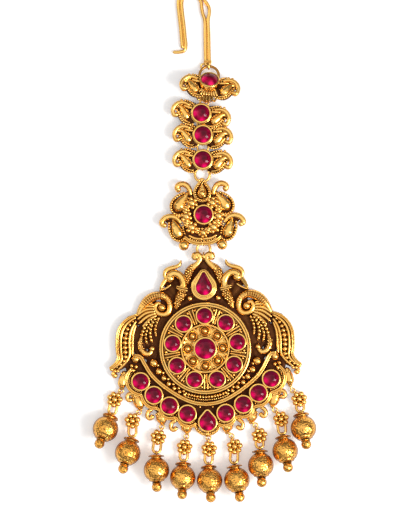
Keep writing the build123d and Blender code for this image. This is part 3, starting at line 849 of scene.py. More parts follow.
@dataclass(frozen=True)
class RubyFinish:
    """Polished red glass over foil, with painted light and shade: a painted pink glint on one side, painted dark shade
    in the middle, a painted plum reflection on the upper part and a painted glow.

    Attributes:
        name: Name of the material.
        painted_dark_middle: Colour of the painted shade in the middle.
        body: Colour round the middle.
        painted_glint: Colour of the painted glint on the lit side.
        sheen: Colour of the painted plum reflection on the upper part.
        deep: How light the darker patches are against the body.
        patch_scale: Fineness of those patches.
        rough: Roughness of the polish.
        bend: How much the glass bends light.
        gloss: Strength of its clear reflections.
        painted_glow: Strength of the emission that makes the stone glow: a painted glow.
    """

    name: str = "ruby_glass"
    # Painted light and shade: a dark middle, a pink glint on the lit side and a plum reflection above.
    painted_dark_middle: Colour = (0.060, 0.0, 0.006)
    body: Colour = (0.27, 0.0, 0.026)
    painted_glint: Colour = (0.78, 0.003, 0.11)
    sheen: Colour = (0.10, 0.002, 0.018)
    deep: float = 0.38
    patch_scale: float = 1500.0
    rough: float = 0.04
    bend: float = 1.5
    gloss: float = 0.18
    # Emission that makes the stone glow: painted light.
    painted_glow: float = 0.25

    @cache
    def material(self) -> bpy.types.Material:
        """Make the finish's material, once. Its pattern follows each stone's own UV map and paints light and shade into
        the colour.

        Returns:
            The material.
        """
        made, tree, shader = new_material(self.name)
        face = add_node(tree, "TexCoord", {}).outputs["UV"]
        where = place_on_object(tree)
        noise = add_node(tree, "TexNoise", {"Vector": where, "Scale": self.patch_scale, "Detail": 3.0})
        patches = spread(tree, noise.outputs["Fac"], 0.38, 0.62, 0.0, 1.0, Ramp.EVEN)
        shade = blend(tree, self.body, tuple(part * self.deep for part in self.body), patches)
        # Painted glints on the lit side, a painted reflection above and painted shade in the middle, each round its own
        # spot of the UV map.
        for colour, middle, near, far in (
            (self.painted_glint, (0.06, 0.40, 0.0), 0.02, 0.34), (self.painted_glint, (0.62, 0.06, 0.0), 0.0, 0.26),
            (self.sheen, (0.50, 0.95, 0.0), 0.10, 0.46), (self.painted_dark_middle, (0.60, 0.58, 0.0), 0.02, 0.34),
        ):
            apart = add_node(tree, "VectorMath", {0: face, 1: middle}, operation="DISTANCE")
            shade = blend(tree, shade, colour, spread(tree, apart.outputs["Value"], near, far, 1.0, 0.0))
        # The emission lets the painted colours glow, as if lit from within.
        feed(tree, shader, {
            "Base Color": shade, "Roughness": self.rough, "IOR": self.bend, "Specular IOR Level": self.gloss,
            "Emission Color": shade, "Emission Strength": self.painted_glow,
        })
        return made


ANTIQUE = GoldFinish("antique_gold", reach=0.55, open_at=0.62, shut_at=0.18)
# Dark brown for the recessed back plates: partly their tarnish, partly painted shade where they lie deep between the
# raised work.
TARNISHED_SHADED_GROUND = GoldFinish(
    "tarnished_shaded_ground", (0.17, 0.065, 0.016), (0.05, 0.016, 0.004), reach=1.5, open_at=1.0, shut_at=0.5, rough=0.45
)
BRIGHT = GoldFinish(
    "bright_gold", (1.0, 0.65, 0.20), (0.97, 0.52, 0.10), reach=0.4, open_at=0.5, shut_at=0.1, rough=0.2, grain=0.008
)
# The hammered balls take a darker painted shade on their steep sides.
HAMMERED = GoldFinish(
    "hammered_gold", (1.0, 0.60, 0.15), (0.80, 0.29, 0.024), reach=0.5, open_at=0.7, shut_at=0.25, rough=0.22,
    grain=0.01, mark_size=0.38, mark_depth=0.085, edge=(0.16, 0.045, 0.005), side_shade_share=1.0,
)
# A darker copy of the gold that paints shade on the bead-carrying underlays, the medallion's panel floor and the hook's
# ring.
SHADED = GoldFinish(
    "shaded_gold", (0.62, 0.31, 0.07), (0.38, 0.16, 0.03), reach=0.5, open_at=0.8, shut_at=0.25, rough=0.34
)
WIRE = GoldFinish(
    "drawn_gold", (1.0, 0.67, 0.22), (1.0, 0.52, 0.10), reach=0.5, open_at=0.5, shut_at=0.15, rough=0.22, grain=0.006
)
RUBY = RubyFinish()


def finish_piece(
    piece: Piece, finish: GoldFinish | RubyFinish, nodes: tuple[str, ...], smooth: float = 50.0
) -> Piece:
    """Scale a modelled piece to metres, dress it and set it in the frame.

    Args:
        piece: The piece, in millimetres.
        finish: Its finish.
        nodes: The CAD nodes that it stands for.
        smooth: Edges flatter than this many degrees are shaded smooth.

    Returns:
        The finished piece.
    """
    piece.data.transform(Matrix.Scale(MM, 4))
    pick_up(piece)
    bpy.ops.object.shade_smooth_by_angle(angle=math.radians(smooth))
    piece.data.materials.clear()
    piece.data.materials.append(finish.material())
    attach(piece, ROOT)
    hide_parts(*nodes)
    lowest = float(points_of(piece)[:, 2].min()) / MM
    log.info("%s: %d faces, lowest point %.2f mm", piece.name, len(piece.data.polygons), lowest)
    return piece


# The parts


@dataclass
class Stone:
    """A domed stone in its setting.

    Attributes:
        node: The CAD node that it stands for.
        radius: Its radius.
        lip: The plane of its setting's lip.
        dome: Its height over the lip.
        girdle: How far its widest part lies below the lip.
        sunk: Its depth below the lip.
        pear: Its outline, for a pear stone.
    """

    node: str
    radius: float
    lip: Matrix
    dome: float = 0.75
    girdle: float = 0.12
    sunk: float = 0.86
    pear: Pear | None = None

    def profile(self) -> list[Spot]:
        """Half section of the stone.

        Returns:
            Rows of distance from the axis and height, from its crown to its flat back.
        """
        arc = (self.radius**2 + self.dome**2) / (2 * self.dome)
        reach = math.asin(self.radius / arc)
        angles = [reach * number / 12 for number in range(1, 13)]
        crown = [(arc * math.sin(angle), arc * math.cos(angle) - arc + self.dome) for angle in angles]
        back = [(self.radius, -self.girdle), (self.radius, -self.sunk), (0.0, -self.sunk)]
        return [(0.0, self.dome), *crown, *back]

    def make(self) -> Piece:
        """Turn the stone, shape it if it is a pear, and give it a UV map across its face.

        Returns:
            The finished stone.
        """
        piece = turn(self.profile(), 40, "stone_" + self.node)
        mesh = piece.data
        points = points_of(piece)
        across = 0.5 + 0.5 * points[:, :2] / self.radius
        layer = mesh.uv_layers.new(name="face")
        corners = np.empty(len(mesh.loops), int)
        mesh.loops.foreach_get("vertex_index", corners)
        layer.data.foreach_set("uv", across[corners].ravel())
        if self.pear:
            move_points(piece, pear_points(points, self.radius, self.pear))
        mesh.transform(self.lip)
        return finish_piece(piece, RUBY, (self.node,))


def pear_points(points: np.ndarray, radius: float, pear: Pear) -> np.ndarray:
    """Move the points of a turned shape so that its round outline becomes a pear.

    Args:
        points: The turned shape's points.
        radius: The radius that becomes the pear's outline.
        pear: The pear's half width, y of its round end, y and radius of its point.

    Returns:
        The moved points.
    """
    half, y_round, y_point, tip = pear
    run, up = abs(y_point - y_round), math.copysign(1.0, y_point - y_round)
    lean = math.asin((half - tip) / run)
    steep = math.pi / 2 - lean
    across, along = points[:, 0], points[:, 1] * up
    reach, angle = np.hypot(across, along), np.arctan2(along, np.abs(across))
    share = np.clip((angle - lean) / (steep - lean), 0, 1)
    side = half + (tip - half) * share
    end_angle = lean + (angle - steep) / lean * steep
    parts = [angle <= lean, angle > steep]
    outline_x = np.select(parts, [half * np.cos(angle), tip * np.cos(end_angle)], math.cos(lean) * side)
    outline_y = np.select(
        parts, [half * np.sin(angle), run + tip * np.sin(end_angle)], run * share + math.sin(lean) * side
    )
    normal_x = np.select(parts, [np.cos(angle), np.cos(end_angle)], math.cos(lean))
    normal_y = np.select(parts, [np.sin(angle), np.sin(end_angle)], math.sin(lean))
    grow, off, spine = reach / radius, reach - radius, run * 0.3
    inner = grow <= 1.0
    moved = points.copy()
    moved[:, 0] = np.sign(across + 1e-12) * np.where(inner, outline_x * grow, outline_x + normal_x * off)
    moved[:, 1] = y_round + up * np.where(inner, spine + (outline_y - spine) * grow, outline_y + normal_y * off)
    return moved


def collet(inner: float, outer: float, low: float, lip: float) -> list[Spot]:
    """Half section of a smooth setting: a wall with a rolled lip.

    Args:
        inner: Its inner radius.
        outer: Its outer radius.
        low: Height of its foot.
        lip: Height of its lip.

    Returns:
        Rows of distance from the axis and height.
    """
    wide = outer - inner
    return closed([
        (outer, low), (outer + 0.02, low + 0.25), (outer, lip - 0.4), (outer - wide * 0.04, lip - 0.12),
        (outer - wide * 0.16, lip - 0.01), (outer - wide * 0.5, lip + 0.04), (inner + wide * 0.12, lip + 0.02),
        (inner + 0.02, lip - 0.08), (inner, lip - 0.3), (inner, low),
    ])


def welded(piece: Piece, low: float, high: float, voxel: float) -> None:
    """Flatten a piece's overlapping strips and weld them into one even sheet.

    Args:
        piece: The joined strips.
        low: Height of the sheet's underside.
        high: Height of its top.
        voxel: Fineness of the weld.
    """
    points = points_of(piece)
    points[:, 2] = np.clip(points[:, 2], low, high)
    move_points(piece, points)
    weld = piece.modifiers.new("weld", "REMESH")
    weld.mode = "VOXEL"
    weld.voxel_size = voxel
    piece.modifiers.new("thin", "DECIMATE").ratio = SHEET_SHARE
    apply_modifiers(piece)


@dataclass
class Pendant:
    """The crescent pendant with its medallion and peacocks. Its lines are those of the left half.

    Attributes:
        medallion_r: Radius of the medallion.
        stones_r: Radius of the circle that its small stones stand on.
        stones: How many of them there are.
        stone_r: Radius of each.
        boss_r: Radius of the raised ring round the middle.
        boss_balls: How many ringed balls stand in it.
        boss_balls_r: Radius of the circle that they stand on.
        centre_r: Radius of the middle stone.
        lip: Height of the small stones' settings.
        centre_lip: Height of the middle stone's setting.
        crescent_lip: Height of the crescent stones' settings.
        crescent: Places of the crescent's stones on the right.
        crescent_r: Radius of each.
        top_pear: Outline of the upper pear stone.
        low_pear: Outline of the lower pear stone.
        low_pear_x: Across, of the lower pear stone.
        tail_low: One corner of the area behind the tail's strings, where the back plate is fuller.
        tail_high: The corner opposite.
        tail_fill: How much wider the plate's strips are there.
        plates: Strips that make up the back plate.
        fillets: Thin strips that close the gaps between them.
        scallops: Wires of the scalloped rim.
        buds: Buds under the rim.
        curls: Curls under the rim.
        ridge: The ridge over the crescent.
        inner_beads: Round beads between the ridge and the medallion.
        bead_arc: The string of beads under the medallion.
        low_arc: The beaded lip under the lower pear stone.
        spiral: The peacock's spiral tail.
        body: The peacock's body.
        leaf: The leaf beside the upper pear stone.
        strings: The bead strings of the tail.
    """

    medallion_r: float = 10.1
    stones_r: float = 7.2
    stones: int = 9
    stone_r: float = 1.6
    boss_r: float = 5.4
    boss_balls: int = 8
    boss_balls_r: float = 3.85
    centre_r: float = 2.2
    lip: float = 2.6
    centre_lip: float = 3.3
    crescent_lip: float = 2.2
    crescent: tuple[Spot, ...] = ((14.3, -6.95), (11.45, -10.0), (8.1, -12.4), (4.2, -14.25))
    crescent_r: float = 1.7
    top_pear: Pear = (1.7, 13.4, 16.3, 0.35)
    low_pear: Pear = (1.75, -16.2, -14.1, 0.4)
    low_pear_x: float = 0.2
    tail_low: Spot = (-16.5, -1.0)
    tail_high: Spot = (-9.8, 7.0)
    tail_fill: float = 0.5

    plates: tuple[Rows, ...] = (
        [(-2.9, 14.4, 0.5), (-3.05, 16.2, 0.75), (-2.6, 17.3, 0.75), (-1.7, 18.2, 0.55)],
        [(-4.95, 19.2, 0.2), (-5.1, 18.5, 0.35), (-5.9, 18.0, 0.4), (-7.2, 17.7, 0.45), (-8.2, 17.2, 0.45),
         (-8.5, 16.2, 0.4), (-7.8, 15.8, 0.6)],
        [(-7.4, 15.7, 1.0), (-6.3, 16.4, 0.8), (-5.2, 15.9, 0.8), (-4.6, 14.9, 0.8), (-4.6, 13.6, 0.85)],
        [(-4.7, 13.2, 1.0), (-4.9, 12.2, 1.2), (-5.6, 11.0, 1.0), (-5.9, 9.9, 0.7), (-6.1, 8.9, 0.6)],
        [(-5.9, 13.5, 0.35), (-3.0, 12.9, 0.4)],
        [(-6.3, 9.2, 0.8), (-7.5, 8.4, 0.8), (-8.6, 7.2, 0.5)],
        [(-8.1, 15.3, 0.5), (-9.0, 14.2, 0.4), (-9.5, 12.9, 0.3)],
        [(-9.4, 9.4, 0.8), (-10.6, 8.9, 0.45), (-8.9, 7.9, 0.55), (-7.9, 8.8, 0.6), (-8.3, 11.0, 0.7),
         (-10.5, 11.6, 0.85), (-12.0, 11.0, 0.85), (-13.2, 9.9, 0.7), (-14.0, 8.8, 0.5), (-14.6, 7.9, 0.4)],
        [(-10.9, 9.0, 0.7), (-12.6, 8.7, 1.5), (-13.4, 7.4, 1.3), (-12.4, 6.6, 1.0)],
        [(-12.6, 9.3, 0.7), (-14.3, 7.9, 0.3)],
        [(-13.0, 8.0, 0.7), (-14.5, 6.1, 0.3)],
        [(-12.4, 7.0, 0.7), (-13.6, 5.0, 0.3)],
        [(-11.9, 6.6, 0.4), (-12.9, 5.3, 0.4), (-13.6, 3.8, 0.4), (-14.0, 2.2, 0.4), (-14.15, 0.8, 0.45),
         (-13.7, -0.4, 0.5), (-12.8, -1.0, 0.5), (-11.9, -0.7, 0.45), (-11.6, 0.1, 0.5)],
        [(-11.3, 7.0, 0.3), (-11.8, 5.3, 0.3), (-12.1, 3.9, 0.3), (-12.0, 2.6, 0.3), (-11.7, 1.7, 0.3)],
        [(-10.2, 7.7, 0.3), (-10.5, 5.5, 0.28), (-10.6, 4.3, 0.28), (-10.4, 3.1, 0.25)],
        [(-14.9, 7.5, 0.4), (-16.0, 6.4, 0.8), (-17.2, 5.2, 1.2), (-17.8, 3.6, 1.4), (-18.0, 1.8, 1.5),
         (-17.9, 0.0, 1.5), (-17.8, -1.4, 1.4), (-18.2, -2.8, 1.2), (-19.1, -3.7, 0.9), (-20.7, -4.15, 0.35)],
        [(-15.4, 6.2, 0.4), (-15.9, 4.6, 0.4), (-16.2, 2.0, 0.4), (-16.2, -1.2, 0.5), (-15.4, -1.8, 0.8)],
        [(-15.2, -2.2, 1.1), (-14.9, -4.0, 1.5), (-14.3, -6.7, 2.9), (-11.45, -9.9, 2.9), (-8.1, -12.3, 2.8),
         (-4.2, -14.2, 2.6), (0.0, -15.0, 2.9)],
        [(-12.0, -3.2, 1.2), (-10.6, -5.4, 1.1), (-8.7, -7.6, 1.1), (-6.0, -9.7, 1.1), (-3.0, -11.1, 1.0),
         (0.0, -11.5, 1.0)],
        [(-20.0, -5.4, 0.5), (-20.0, -4.3, 0.45)],
        [(0.0, 11.0, 2.5), (0.0, 14.0, 2.8), (0.0, 17.6, 0.4)],
        [(0.0, -18.1, 1.0), (0.0, -18.8, 0.5)],
        [(-5.2, 9.3, 1.0), (-6.5, 8.6, 1.0), (-7.9, 7.4, 0.9), (-9.1, 5.6, 0.6), (-9.95, 3.5, 0.4), (-10.4, 1.0, 0.3),
         (-10.4, -1.2, 0.3), (-10.1, -3.3, 0.5), (-9.1, -5.4, 0.5), (-7.4, -7.6, 0.5), (-5.2, -9.3, 0.5),
         (-2.6, -10.3, 0.5), (0.0, -10.7, 0.5)],
        [(-3.3, 16.2, 0.5), (-3.5, 14.2, 0.75), (-3.2, 12.2, 0.9), (-3.4, 10.6, 0.9)],
        [(0.0, 18.0, 0.9), (0.0, 19.5, 0.75)],
        [(-8.8, 10.2, 0.9), (-9.3, 8.8, 0.9)],
        [(-11.4, 8.2, 1.0), (-12.0, 6.6, 0.9), (-11.6, 6.0, 0.7)],
        [(-11.8, 5.6, 0.5), (-12.9, 4.4, 0.45), (-13.1, 3.2, 0.3)],
    )
    fillets: tuple[Rows, ...] = (
        [(-8.3, 14.6, 0.8), (-7.2, 13.2, 1.0), (-6.6, 12.0, 1.0), (-7.0, 11.4, 0.6)],
        [(-6.8, 15.2, 0.7), (-6.0, 14.6, 0.9), (-5.6, 13.6, 0.8)],
        [(-2.0, 15.6, 0.6), (-1.6, 17.0, 0.6), (-1.0, 18.2, 0.6)],
        [(-4.7, 9.7, 0.9), (-3.4, 10.3, 0.8), (-1.8, 10.7, 0.8)],
        [(-9.0, 12.7, 0.6), (-8.0, 12.1, 0.7), (-7.2, 11.2, 0.7), (-6.9, 9.9, 0.7)],
        [(-11.0, 10.4, 0.6), (-12.4, 10.3, 0.7), (-13.4, 9.4, 0.7)],
        [(-9.4, 7.0, 0.7), (-9.9, 5.8, 0.6)],
        [(-13.4, -1.5, 0.6), (-12.2, -1.9, 0.6)],
        [(-16.5, -2.2, 0.7), (-17.0, -3.6, 0.6), (-17.0, -4.6, 0.5)],
        [(-14.6, 4.6, 0.6), (-15.1, 2.4, 0.7), (-15.2, 0.4, 0.7), (-14.6, -1.4, 0.6)],
        [(-12.8, 2.8, 0.5), (-12.7, 1.0, 0.6), (-12.4, 0.3, 0.4)],
        [(-11.2, 3.4, 0.5), (-11.0, 1.8, 0.6), (-10.9, 0.0, 0.6), (-11.0, -1.6, 0.6), (-12.4, -2.2, 0.6)],
    )
    scallops: tuple[Rows, ...] = (
        [(-16.3, -4.3, 0.36), (-17.2, -5.5, 0.4), (-17.35, -7.1, 0.4), (-16.75, -8.6, 0.4), (-15.5, -9.6, 0.4),
         (-14.35, -9.95, 0.34)],
        [(-14.2, -10.05, 0.34), (-13.9, -11.0, 0.4), (-13.1, -12.15, 0.4), (-12.0, -12.8, 0.4),
         (-10.9, -12.95, 0.4), (-10.3, -13.3, 0.34)],
        [(-10.25, -13.4, 0.34), (-9.8, -14.3, 0.4), (-9.0, -15.0, 0.4), (-7.8, -15.25, 0.4), (-6.8, -15.15, 0.4),
         (-6.35, -15.5, 0.34)],
        [(-6.25, -15.6, 0.34), (-5.6, -16.4, 0.4), (-4.6, -16.95, 0.4), (-3.5, -17.05, 0.4),
         (-2.45, -16.6, 0.34)],
    )
    buds: tuple[Rows, ...] = (
        [(-17.9, -5.2, 0.6), (-18.2, -6.5, 0.85), (-18.4, -7.5, 0.9), (-18.5, -8.4, 0.45)],
        [(-15.4, -10.2, 0.9), (-14.95, -11.4, 1.1), (-14.6, -12.4, 0.95), (-14.45, -13.1, 0.4)],
        [(-10.2, -14.4, 0.9), (-9.9, -15.2, 1.15), (-9.75, -15.9, 0.9), (-9.65, -16.5, 0.4)],
        [(-4.7, -16.9, 1.0), (-4.45, -17.5, 1.15), (-4.35, -18.1, 0.85), (-4.35, -18.6, 0.4)],
    )
    curls: tuple[Rows, ...] = (
        [(-15.9, -9.75, 0.42), (-16.9, -9.7, 0.4), (-17.35, -10.4, 0.4), (-17.1, -11.0, 0.42), (-16.6, -11.0, 0.46)],
        [(-12.2, -13.25, 0.42), (-12.9, -13.9, 0.4), (-13.0, -14.7, 0.4), (-12.5, -15.2, 0.42), (-11.95, -14.8, 0.46)],
        [(-6.95, -15.7, 0.42), (-7.75, -16.4, 0.4), (-7.9, -17.2, 0.4), (-7.4, -17.8, 0.42), (-6.85, -17.5, 0.46)],
    )
    ridge: Rows = (
        (-15.3, -1.25, 0.4), (-14.3, -1.55, 0.44), (-13.5, -2.8, 0.44), (-12.7, -4.3, 0.44), (-11.6, -5.9, 0.44),
        (-10.2, -7.3, 0.44), (-8.6, -8.6, 0.44), (-6.8, -9.85, 0.44), (-4.6, -11.1, 0.44), (-2.4, -11.9, 0.44),
        (0.0, -12.2, 0.44),
    )
    inner_beads: Rows = (
        (-11.35, -3.0, 0.85), (-10.3, -4.85, 0.68), (-9.2, -6.35, 0.56), (-8.15, -7.6, 0.5), (-6.95, -8.6, 0.44),
        (-5.8, -9.4, 0.4), (-4.75, -10.0, 0.34),
    )
    bead_arc: Rows = (
        (-4.4, -9.75, 0.3), (-3.0, -10.25, 0.3), (-1.5, -10.55, 0.3), (0.0, -10.65, 0.3), (1.5, -10.55, 0.3),
        (3.0, -10.25, 0.3), (4.4, -9.75, 0.3),
    )
    low_arc: Rows = (
        (-2.5, -17.1, 0.36), (-1.7, -18.2, 0.4), (0.1, -18.85, 0.42), (1.9, -18.2, 0.4), (2.7, -17.1, 0.36)
    )
    spiral: Rows = (
        (-9.5, 9.55, 0.3), (-9.9, 10.05, 0.38), (-10.5, 9.85, 0.42), (-10.75, 9.0, 0.46), (-10.3, 8.05, 0.5),
        (-9.3, 7.6, 0.52), (-8.2, 7.8, 0.58), (-7.62, 8.7, 0.6), (-7.6, 9.8, 0.62), (-8.0, 10.9, 0.68),
        (-8.95, 11.6, 0.76), (-10.2, 11.75, 0.86), (-11.5, 11.35, 0.92), (-12.7, 10.5, 0.88), (-13.6, 9.4, 0.72),
        (-14.3, 8.3, 0.5), (-14.65, 7.6, 0.34),
    )
    body: Scroll = field(default_factory=lambda: Scroll(
        [(-4.75, 12.6, 1.0), (-4.95, 12.0, 1.2), (-5.5, 11.0, 1.05), (-5.9, 9.9, 0.75), (-6.15, 9.0, 0.5)], 1.1
    ))
    leaf: Scroll = field(default_factory=lambda: Scroll(
        [(-3.6, 14.5, 0.5), (-3.55, 15.6, 0.85), (-3.2, 16.7, 0.98), (-2.6, 17.6, 0.85), (-1.9, 18.25, 0.6)], 1.0
    ))

    strings: tuple[Rows, ...] = (
        [(-11.75, 6.6, 0.36), (-12.85, 5.4, 0.4), (-13.6, 3.9, 0.42), (-13.95, 2.7, 0.42)],
        [(-11.4, 6.1, 0.32), (-12.3, 4.9, 0.36), (-12.85, 3.6, 0.36), (-12.95, 2.4, 0.34), (-12.75, 1.4, 0.3)],
        [(-10.9, 6.6, 0.34), (-11.6, 5.3, 0.38), (-11.95, 3.9, 0.4), (-11.9, 2.6, 0.42), (-11.65, 1.7, 0.4)],
        [(-10.15, 6.7, 0.32), (-10.65, 5.4, 0.36), (-10.85, 4.2, 0.36), (-10.75, 3.0, 0.32)],
    )

    def ornaments(self) -> list[Scroll]:
        """List the scrolls, wires and leaves of the left half.

        Returns:
            The scrolls, in the order that they are made.
        """
        ribs = [
            [(-11.2, 9.4, 0.26), (-12.8, 9.45, 0.35), (-14.0, 8.9, 0.26)],
            [(-11.15, 8.85, 0.26), (-12.9, 8.7, 0.35), (-14.5, 7.75, 0.26)],
            [(-11.0, 8.3, 0.26), (-12.8, 7.98, 0.35), (-14.55, 6.75, 0.26)],
            [(-10.9, 7.8, 0.26), (-12.5, 7.25, 0.35), (-14.3, 5.8, 0.26)],
            [(-10.7, 7.3, 0.26), (-11.9, 6.7, 0.33), (-13.5, 5.1, 0.26)],
        ]
        wing_outer = [
            (-15.0, 7.6, 0.28), (-16.6, 6.95, 0.32), (-18.15, 5.6, 0.34), (-19.05, 3.8, 0.36), (-19.3, 1.8, 0.36),
            (-19.25, -0.3, 0.36), (-19.1, -1.7, 0.36), (-19.7, -2.9, 0.34), (-20.85, -3.85, 0.28),
        ]
        wing_second = [
            (-15.2, 7.0, 0.24), (-16.55, 6.15, 0.3), (-17.7, 4.85, 0.32), (-18.3, 3.3, 0.33), (-18.48, 1.5, 0.33),
            (-18.42, -0.5, 0.33), (-18.3, -1.9, 0.32), (-18.95, -3.0, 0.3), (-20.2, -3.95, 0.24),
        ]
        wing_inner = [
            (-15.1, 6.1, 0.24), (-16.0, 4.6, 0.3), (-16.45, 3.0, 0.34), (-16.6, 1.2, 0.35), (-16.55, -0.5, 0.34),
            (-16.85, -1.8, 0.32), (-17.7, -3.0, 0.3), (-19.0, -4.15, 0.24),
        ]
        wing_inmost = [
            (-15.1, 5.3, 0.22), (-15.65, 3.7, 0.28), (-15.85, 2.0, 0.3), (-15.9, 0.2, 0.3), (-15.95, -1.1, 0.28)
        ]
        curl_top = [
            (-2.5, 17.5, 0.45), (-1.75, 18.25, 0.55), (-1.0, 19.05, 0.52), (-0.72, 19.9, 0.55), (-1.1, 20.45, 0.7),
            (-1.68, 20.25, 0.95), (-1.75, 20.15, 0.9),
        ]
        return [
            Scroll(curl_top, 0.5, 1.72, low=1.17),
            Scroll([(-4.95, 19.25, 0.2), (-5.12, 18.6, 0.38), (-5.85, 18.05, 0.46), (-7.1, 17.72, 0.5),
                    (-8.15, 17.25, 0.5), (-8.55, 16.4, 0.44), (-8.4, 15.6, 0.34)], 1.05),
            Scroll([(-7.5, 16.05, 0.75), (-6.9, 16.5, 0.8), (-6.0, 16.5, 0.82), (-5.2, 16.0, 0.82),
                    (-4.65, 15.1, 0.82), (-4.5, 14.2, 0.82), (-4.6, 13.5, 0.86)], 1.45),
            Scroll([(-8.3, 15.3, 0.5), (-8.9, 14.4, 0.46), (-9.35, 13.5, 0.38), (-9.6, 12.85, 0.22)], 1.0,
                   section=Section.RIDGE),
            Scroll([(-7.3, 14.0, 0.2), (-8.2, 13.4, 0.24), (-9.25, 12.95, 0.18)], 0.7),
            Scroll([(-5.85, 13.7, 0.18), (-4.7, 13.45, 0.2), (-3.65, 13.2, 0.18)], 0.3, 2.25),
            Scroll([(-5.85, 13.25, 0.18), (-4.75, 12.98, 0.2), (-3.75, 12.75, 0.18)], 0.3, 2.15),
            Scroll(wider(self.spiral, 1.14), 1.25),
            *[Scroll(rib, 0.75) for rib in ribs],
            Scroll(wing_outer, 1.0, section=Section.BAND),
            Scroll(wing_second, 0.85),
            Scroll(wing_inner, 0.8),
            Scroll(wing_inmost, 0.7),
            Scroll([(-14.0, 2.4, 0.4), (-14.25, 1.2, 0.58), (-14.0, 0.0, 0.64), (-13.2, -0.85, 0.66),
                    (-12.3, -0.95, 0.6), (-11.75, -0.4, 0.46)], 0.95),
            Scroll([(-11.3, 9.85, 0.22), (-12.4, 10.15, 0.3), (-13.5, 9.7, 0.24)], 0.75),
            Scroll(self.ridge, 1.35, section=Section.BAND),
            *[Scroll(rows, 0.75, section=Section.BAND) for rows in self.scallops],
            *[Scroll(wider(rows, 1.12), 1.05, 0.75) for rows in self.buds],
            *[Scroll(wider(rows, 1.15), 0.6, 0.9) for rows in self.curls],
            Scroll([(-19.6, -4.5, 0.3), (-20.1, -4.75, 0.35), (-20.45, -5.3, 0.35)], 0.6),
        ]

    def underlays(self) -> None:
        """Model the shaded leaves, bodies, string cores and panel floor that carry beads."""
        cores = [Scroll(wider(rows, 0.9), 0.45) for rows in self.strings]
        made = [scroll.make() for scroll in both([self.leaf, self.body, *cores])]
        outer, inner = self.medallion_r - 0.9, self.boss_r - 0.1
        made.append(turn(closed([(outer, 0.9), (outer, 1.4), (inner, 1.4), (inner, 0.9)]), 96))
        piece = join(made, "pendant_underlays")
        face_outwards(piece)
        finish_piece(piece, SHADED, ("pendant",))

    def plate(self) -> None:
        """Model the flat back plate: strips and a disc welded into one even sheet."""
        strips = []
        (x_low, y_low), (x_high, y_high) = self.tail_low, self.tail_high
        for rows in self.plates:
            fuller = [(x, y, r + self.tail_fill * (x_low < x < x_high and y_low < y < y_high)) for x, y, r in rows]
            strips.append(Scroll(fuller, max(row[2] for row in fuller), 0.5))
        strips += [Scroll(rows, 0.5, 0.5) for rows in self.fillets + self.scallops + self.buds + self.curls]
        made = []
        for strip in strips:
            made.append(strip.make())
            if strip.rows[0][0] or strip.rows[-1][0]:
                made.append(strip.mirrored().make())
        r = self.medallion_r
        made.append(turn([(0, 0), (r - 0.1, 0), (r, 0.2), (r, 0.9), (r - 0.1, PLATE), (0, PLATE)], 96))
        piece = join(made, "pendant_plate")
        welded(piece, 0.02, PLATE, 0.15)
        finish_piece(piece, TARNISHED_SHADED_GROUND, ("pendant",), 35.0)

    def grains(self) -> None:
        """Model the beads, granulation, ribs and little balls."""
        small, round_ones = [], []
        small += granules(self.body, 0.26) + granules(self.leaf, 0.25)
        ribs = ribs_across(self.spiral[8:15], 0.5, 1.56, PLATE, 1.18)
        wing_beads = [
            (-15.7, 6.2, 0.28), (-16.7, 5.0, 0.42), (-17.25, 3.5, 0.52), (-17.5, 1.8, 0.56), (-17.52, 0.0, 0.56),
            (-17.5, -1.5, 0.5), (-18.05, -2.7, 0.42), (-19.1, -3.55, 0.3), (-20.2, -4.0, 0.2),
        ]
        small += graded(wing_beads, 1.02, 1.65)
        for rows in self.strings:
            small += graded(rows, 0.8, 1.6)
        hook = Scroll([(-14.05, 2.2, 0.5), (-14.25, 1.2, 0.58), (-14.0, 0.1, 0.6), (-13.4, -0.65, 0.5)], 0.9)
        small += granules(hook, 0.2)
        for x, y, r in self.inner_beads:
            round_ones.append(ball_at(x, y, 1.95 - r * 0.504, r * 1.12))
        for (x, y, _), (far_x, far_y, _) in zip(self.inner_beads, self.inner_beads[1:]):
            round_ones.append(ball_at((x + far_x) / 2 + 0.4, (y + far_y) / 2 + 0.4, 1.35, 0.36))
        round_ones += [
            ball_at(-11.6, 0.15, 1.35, 0.64),
            place(-9.3, 9.15, 1.6, 0, (0.8, 0.8, 0.75)),
            place(-7.4, 15.55, 1.35, 0, (1.1, 1.05, 1.1)),
            ball_at(-3.1, 11.0, 1.3, 0.62),
            place(-15.25, -2.05, 1.2, 0, (0.98, 0.95, 1.1)),
            ball_at(-20.0, -5.55, 0.8, 0.66),
            ball_at(-16.6, -10.9, 0.85, 0.45),
            ball_at(-12.0, -14.75, 0.85, 0.47),
            ball_at(-6.9, -17.45, 0.85, 0.47),
        ]
        for x, y in ((-16.2, -3.5), (-15.2, -3.75), (-15.85, -4.55), (-20.6, -4.2), (-19.9, -4.6), (-19.2, -4.55)):
            small.append(ball_at(x, y, 1.35, 0.46))
        small += strung([(-1.4, -12.85, 0.2), (-2.0, -12.75, 0.2)], 0.7, 0.3, 1.3)
        for rows in self.buds:
            x, y, r = rows[0]
            small += strung([(x - r, y + 0.1, 0.1), (x - 0.2, y - 0.35, 0.1), (x + r, y - 0.1, 0.1)], 0.42, 0.2, 1.65)
        for rows in self.scallops:
            small += strung(rows, 0.46, 0.17, 1.4, 0.2, 0.66)
        small = mirrored_places(small)
        small += strung(self.bead_arc, 0.64, 0.33, 2.0) + strung(self.bead_arc, 0.46, 0.21, 1.9, 0.2, -0.62)
        small += strung(self.low_arc, 0.5, 0.25, 1.55)
        round_ones = mirrored_places(round_ones)
        round_ones.append(place(0.1, -18.75, 0.95, 0, (0.8, 0.7, 0.85)))
        made = [BEAD.cast(small), PEARL.cast(round_ones), BEAD.cast(mirrored_places(ribs))]
        piece = join(made, "pendant_grains")
        points = points_of(piece)
        points[:, 2] = np.maximum(points[:, 2], 0.1)
        move_points(piece, points)
        face_outwards(piece)
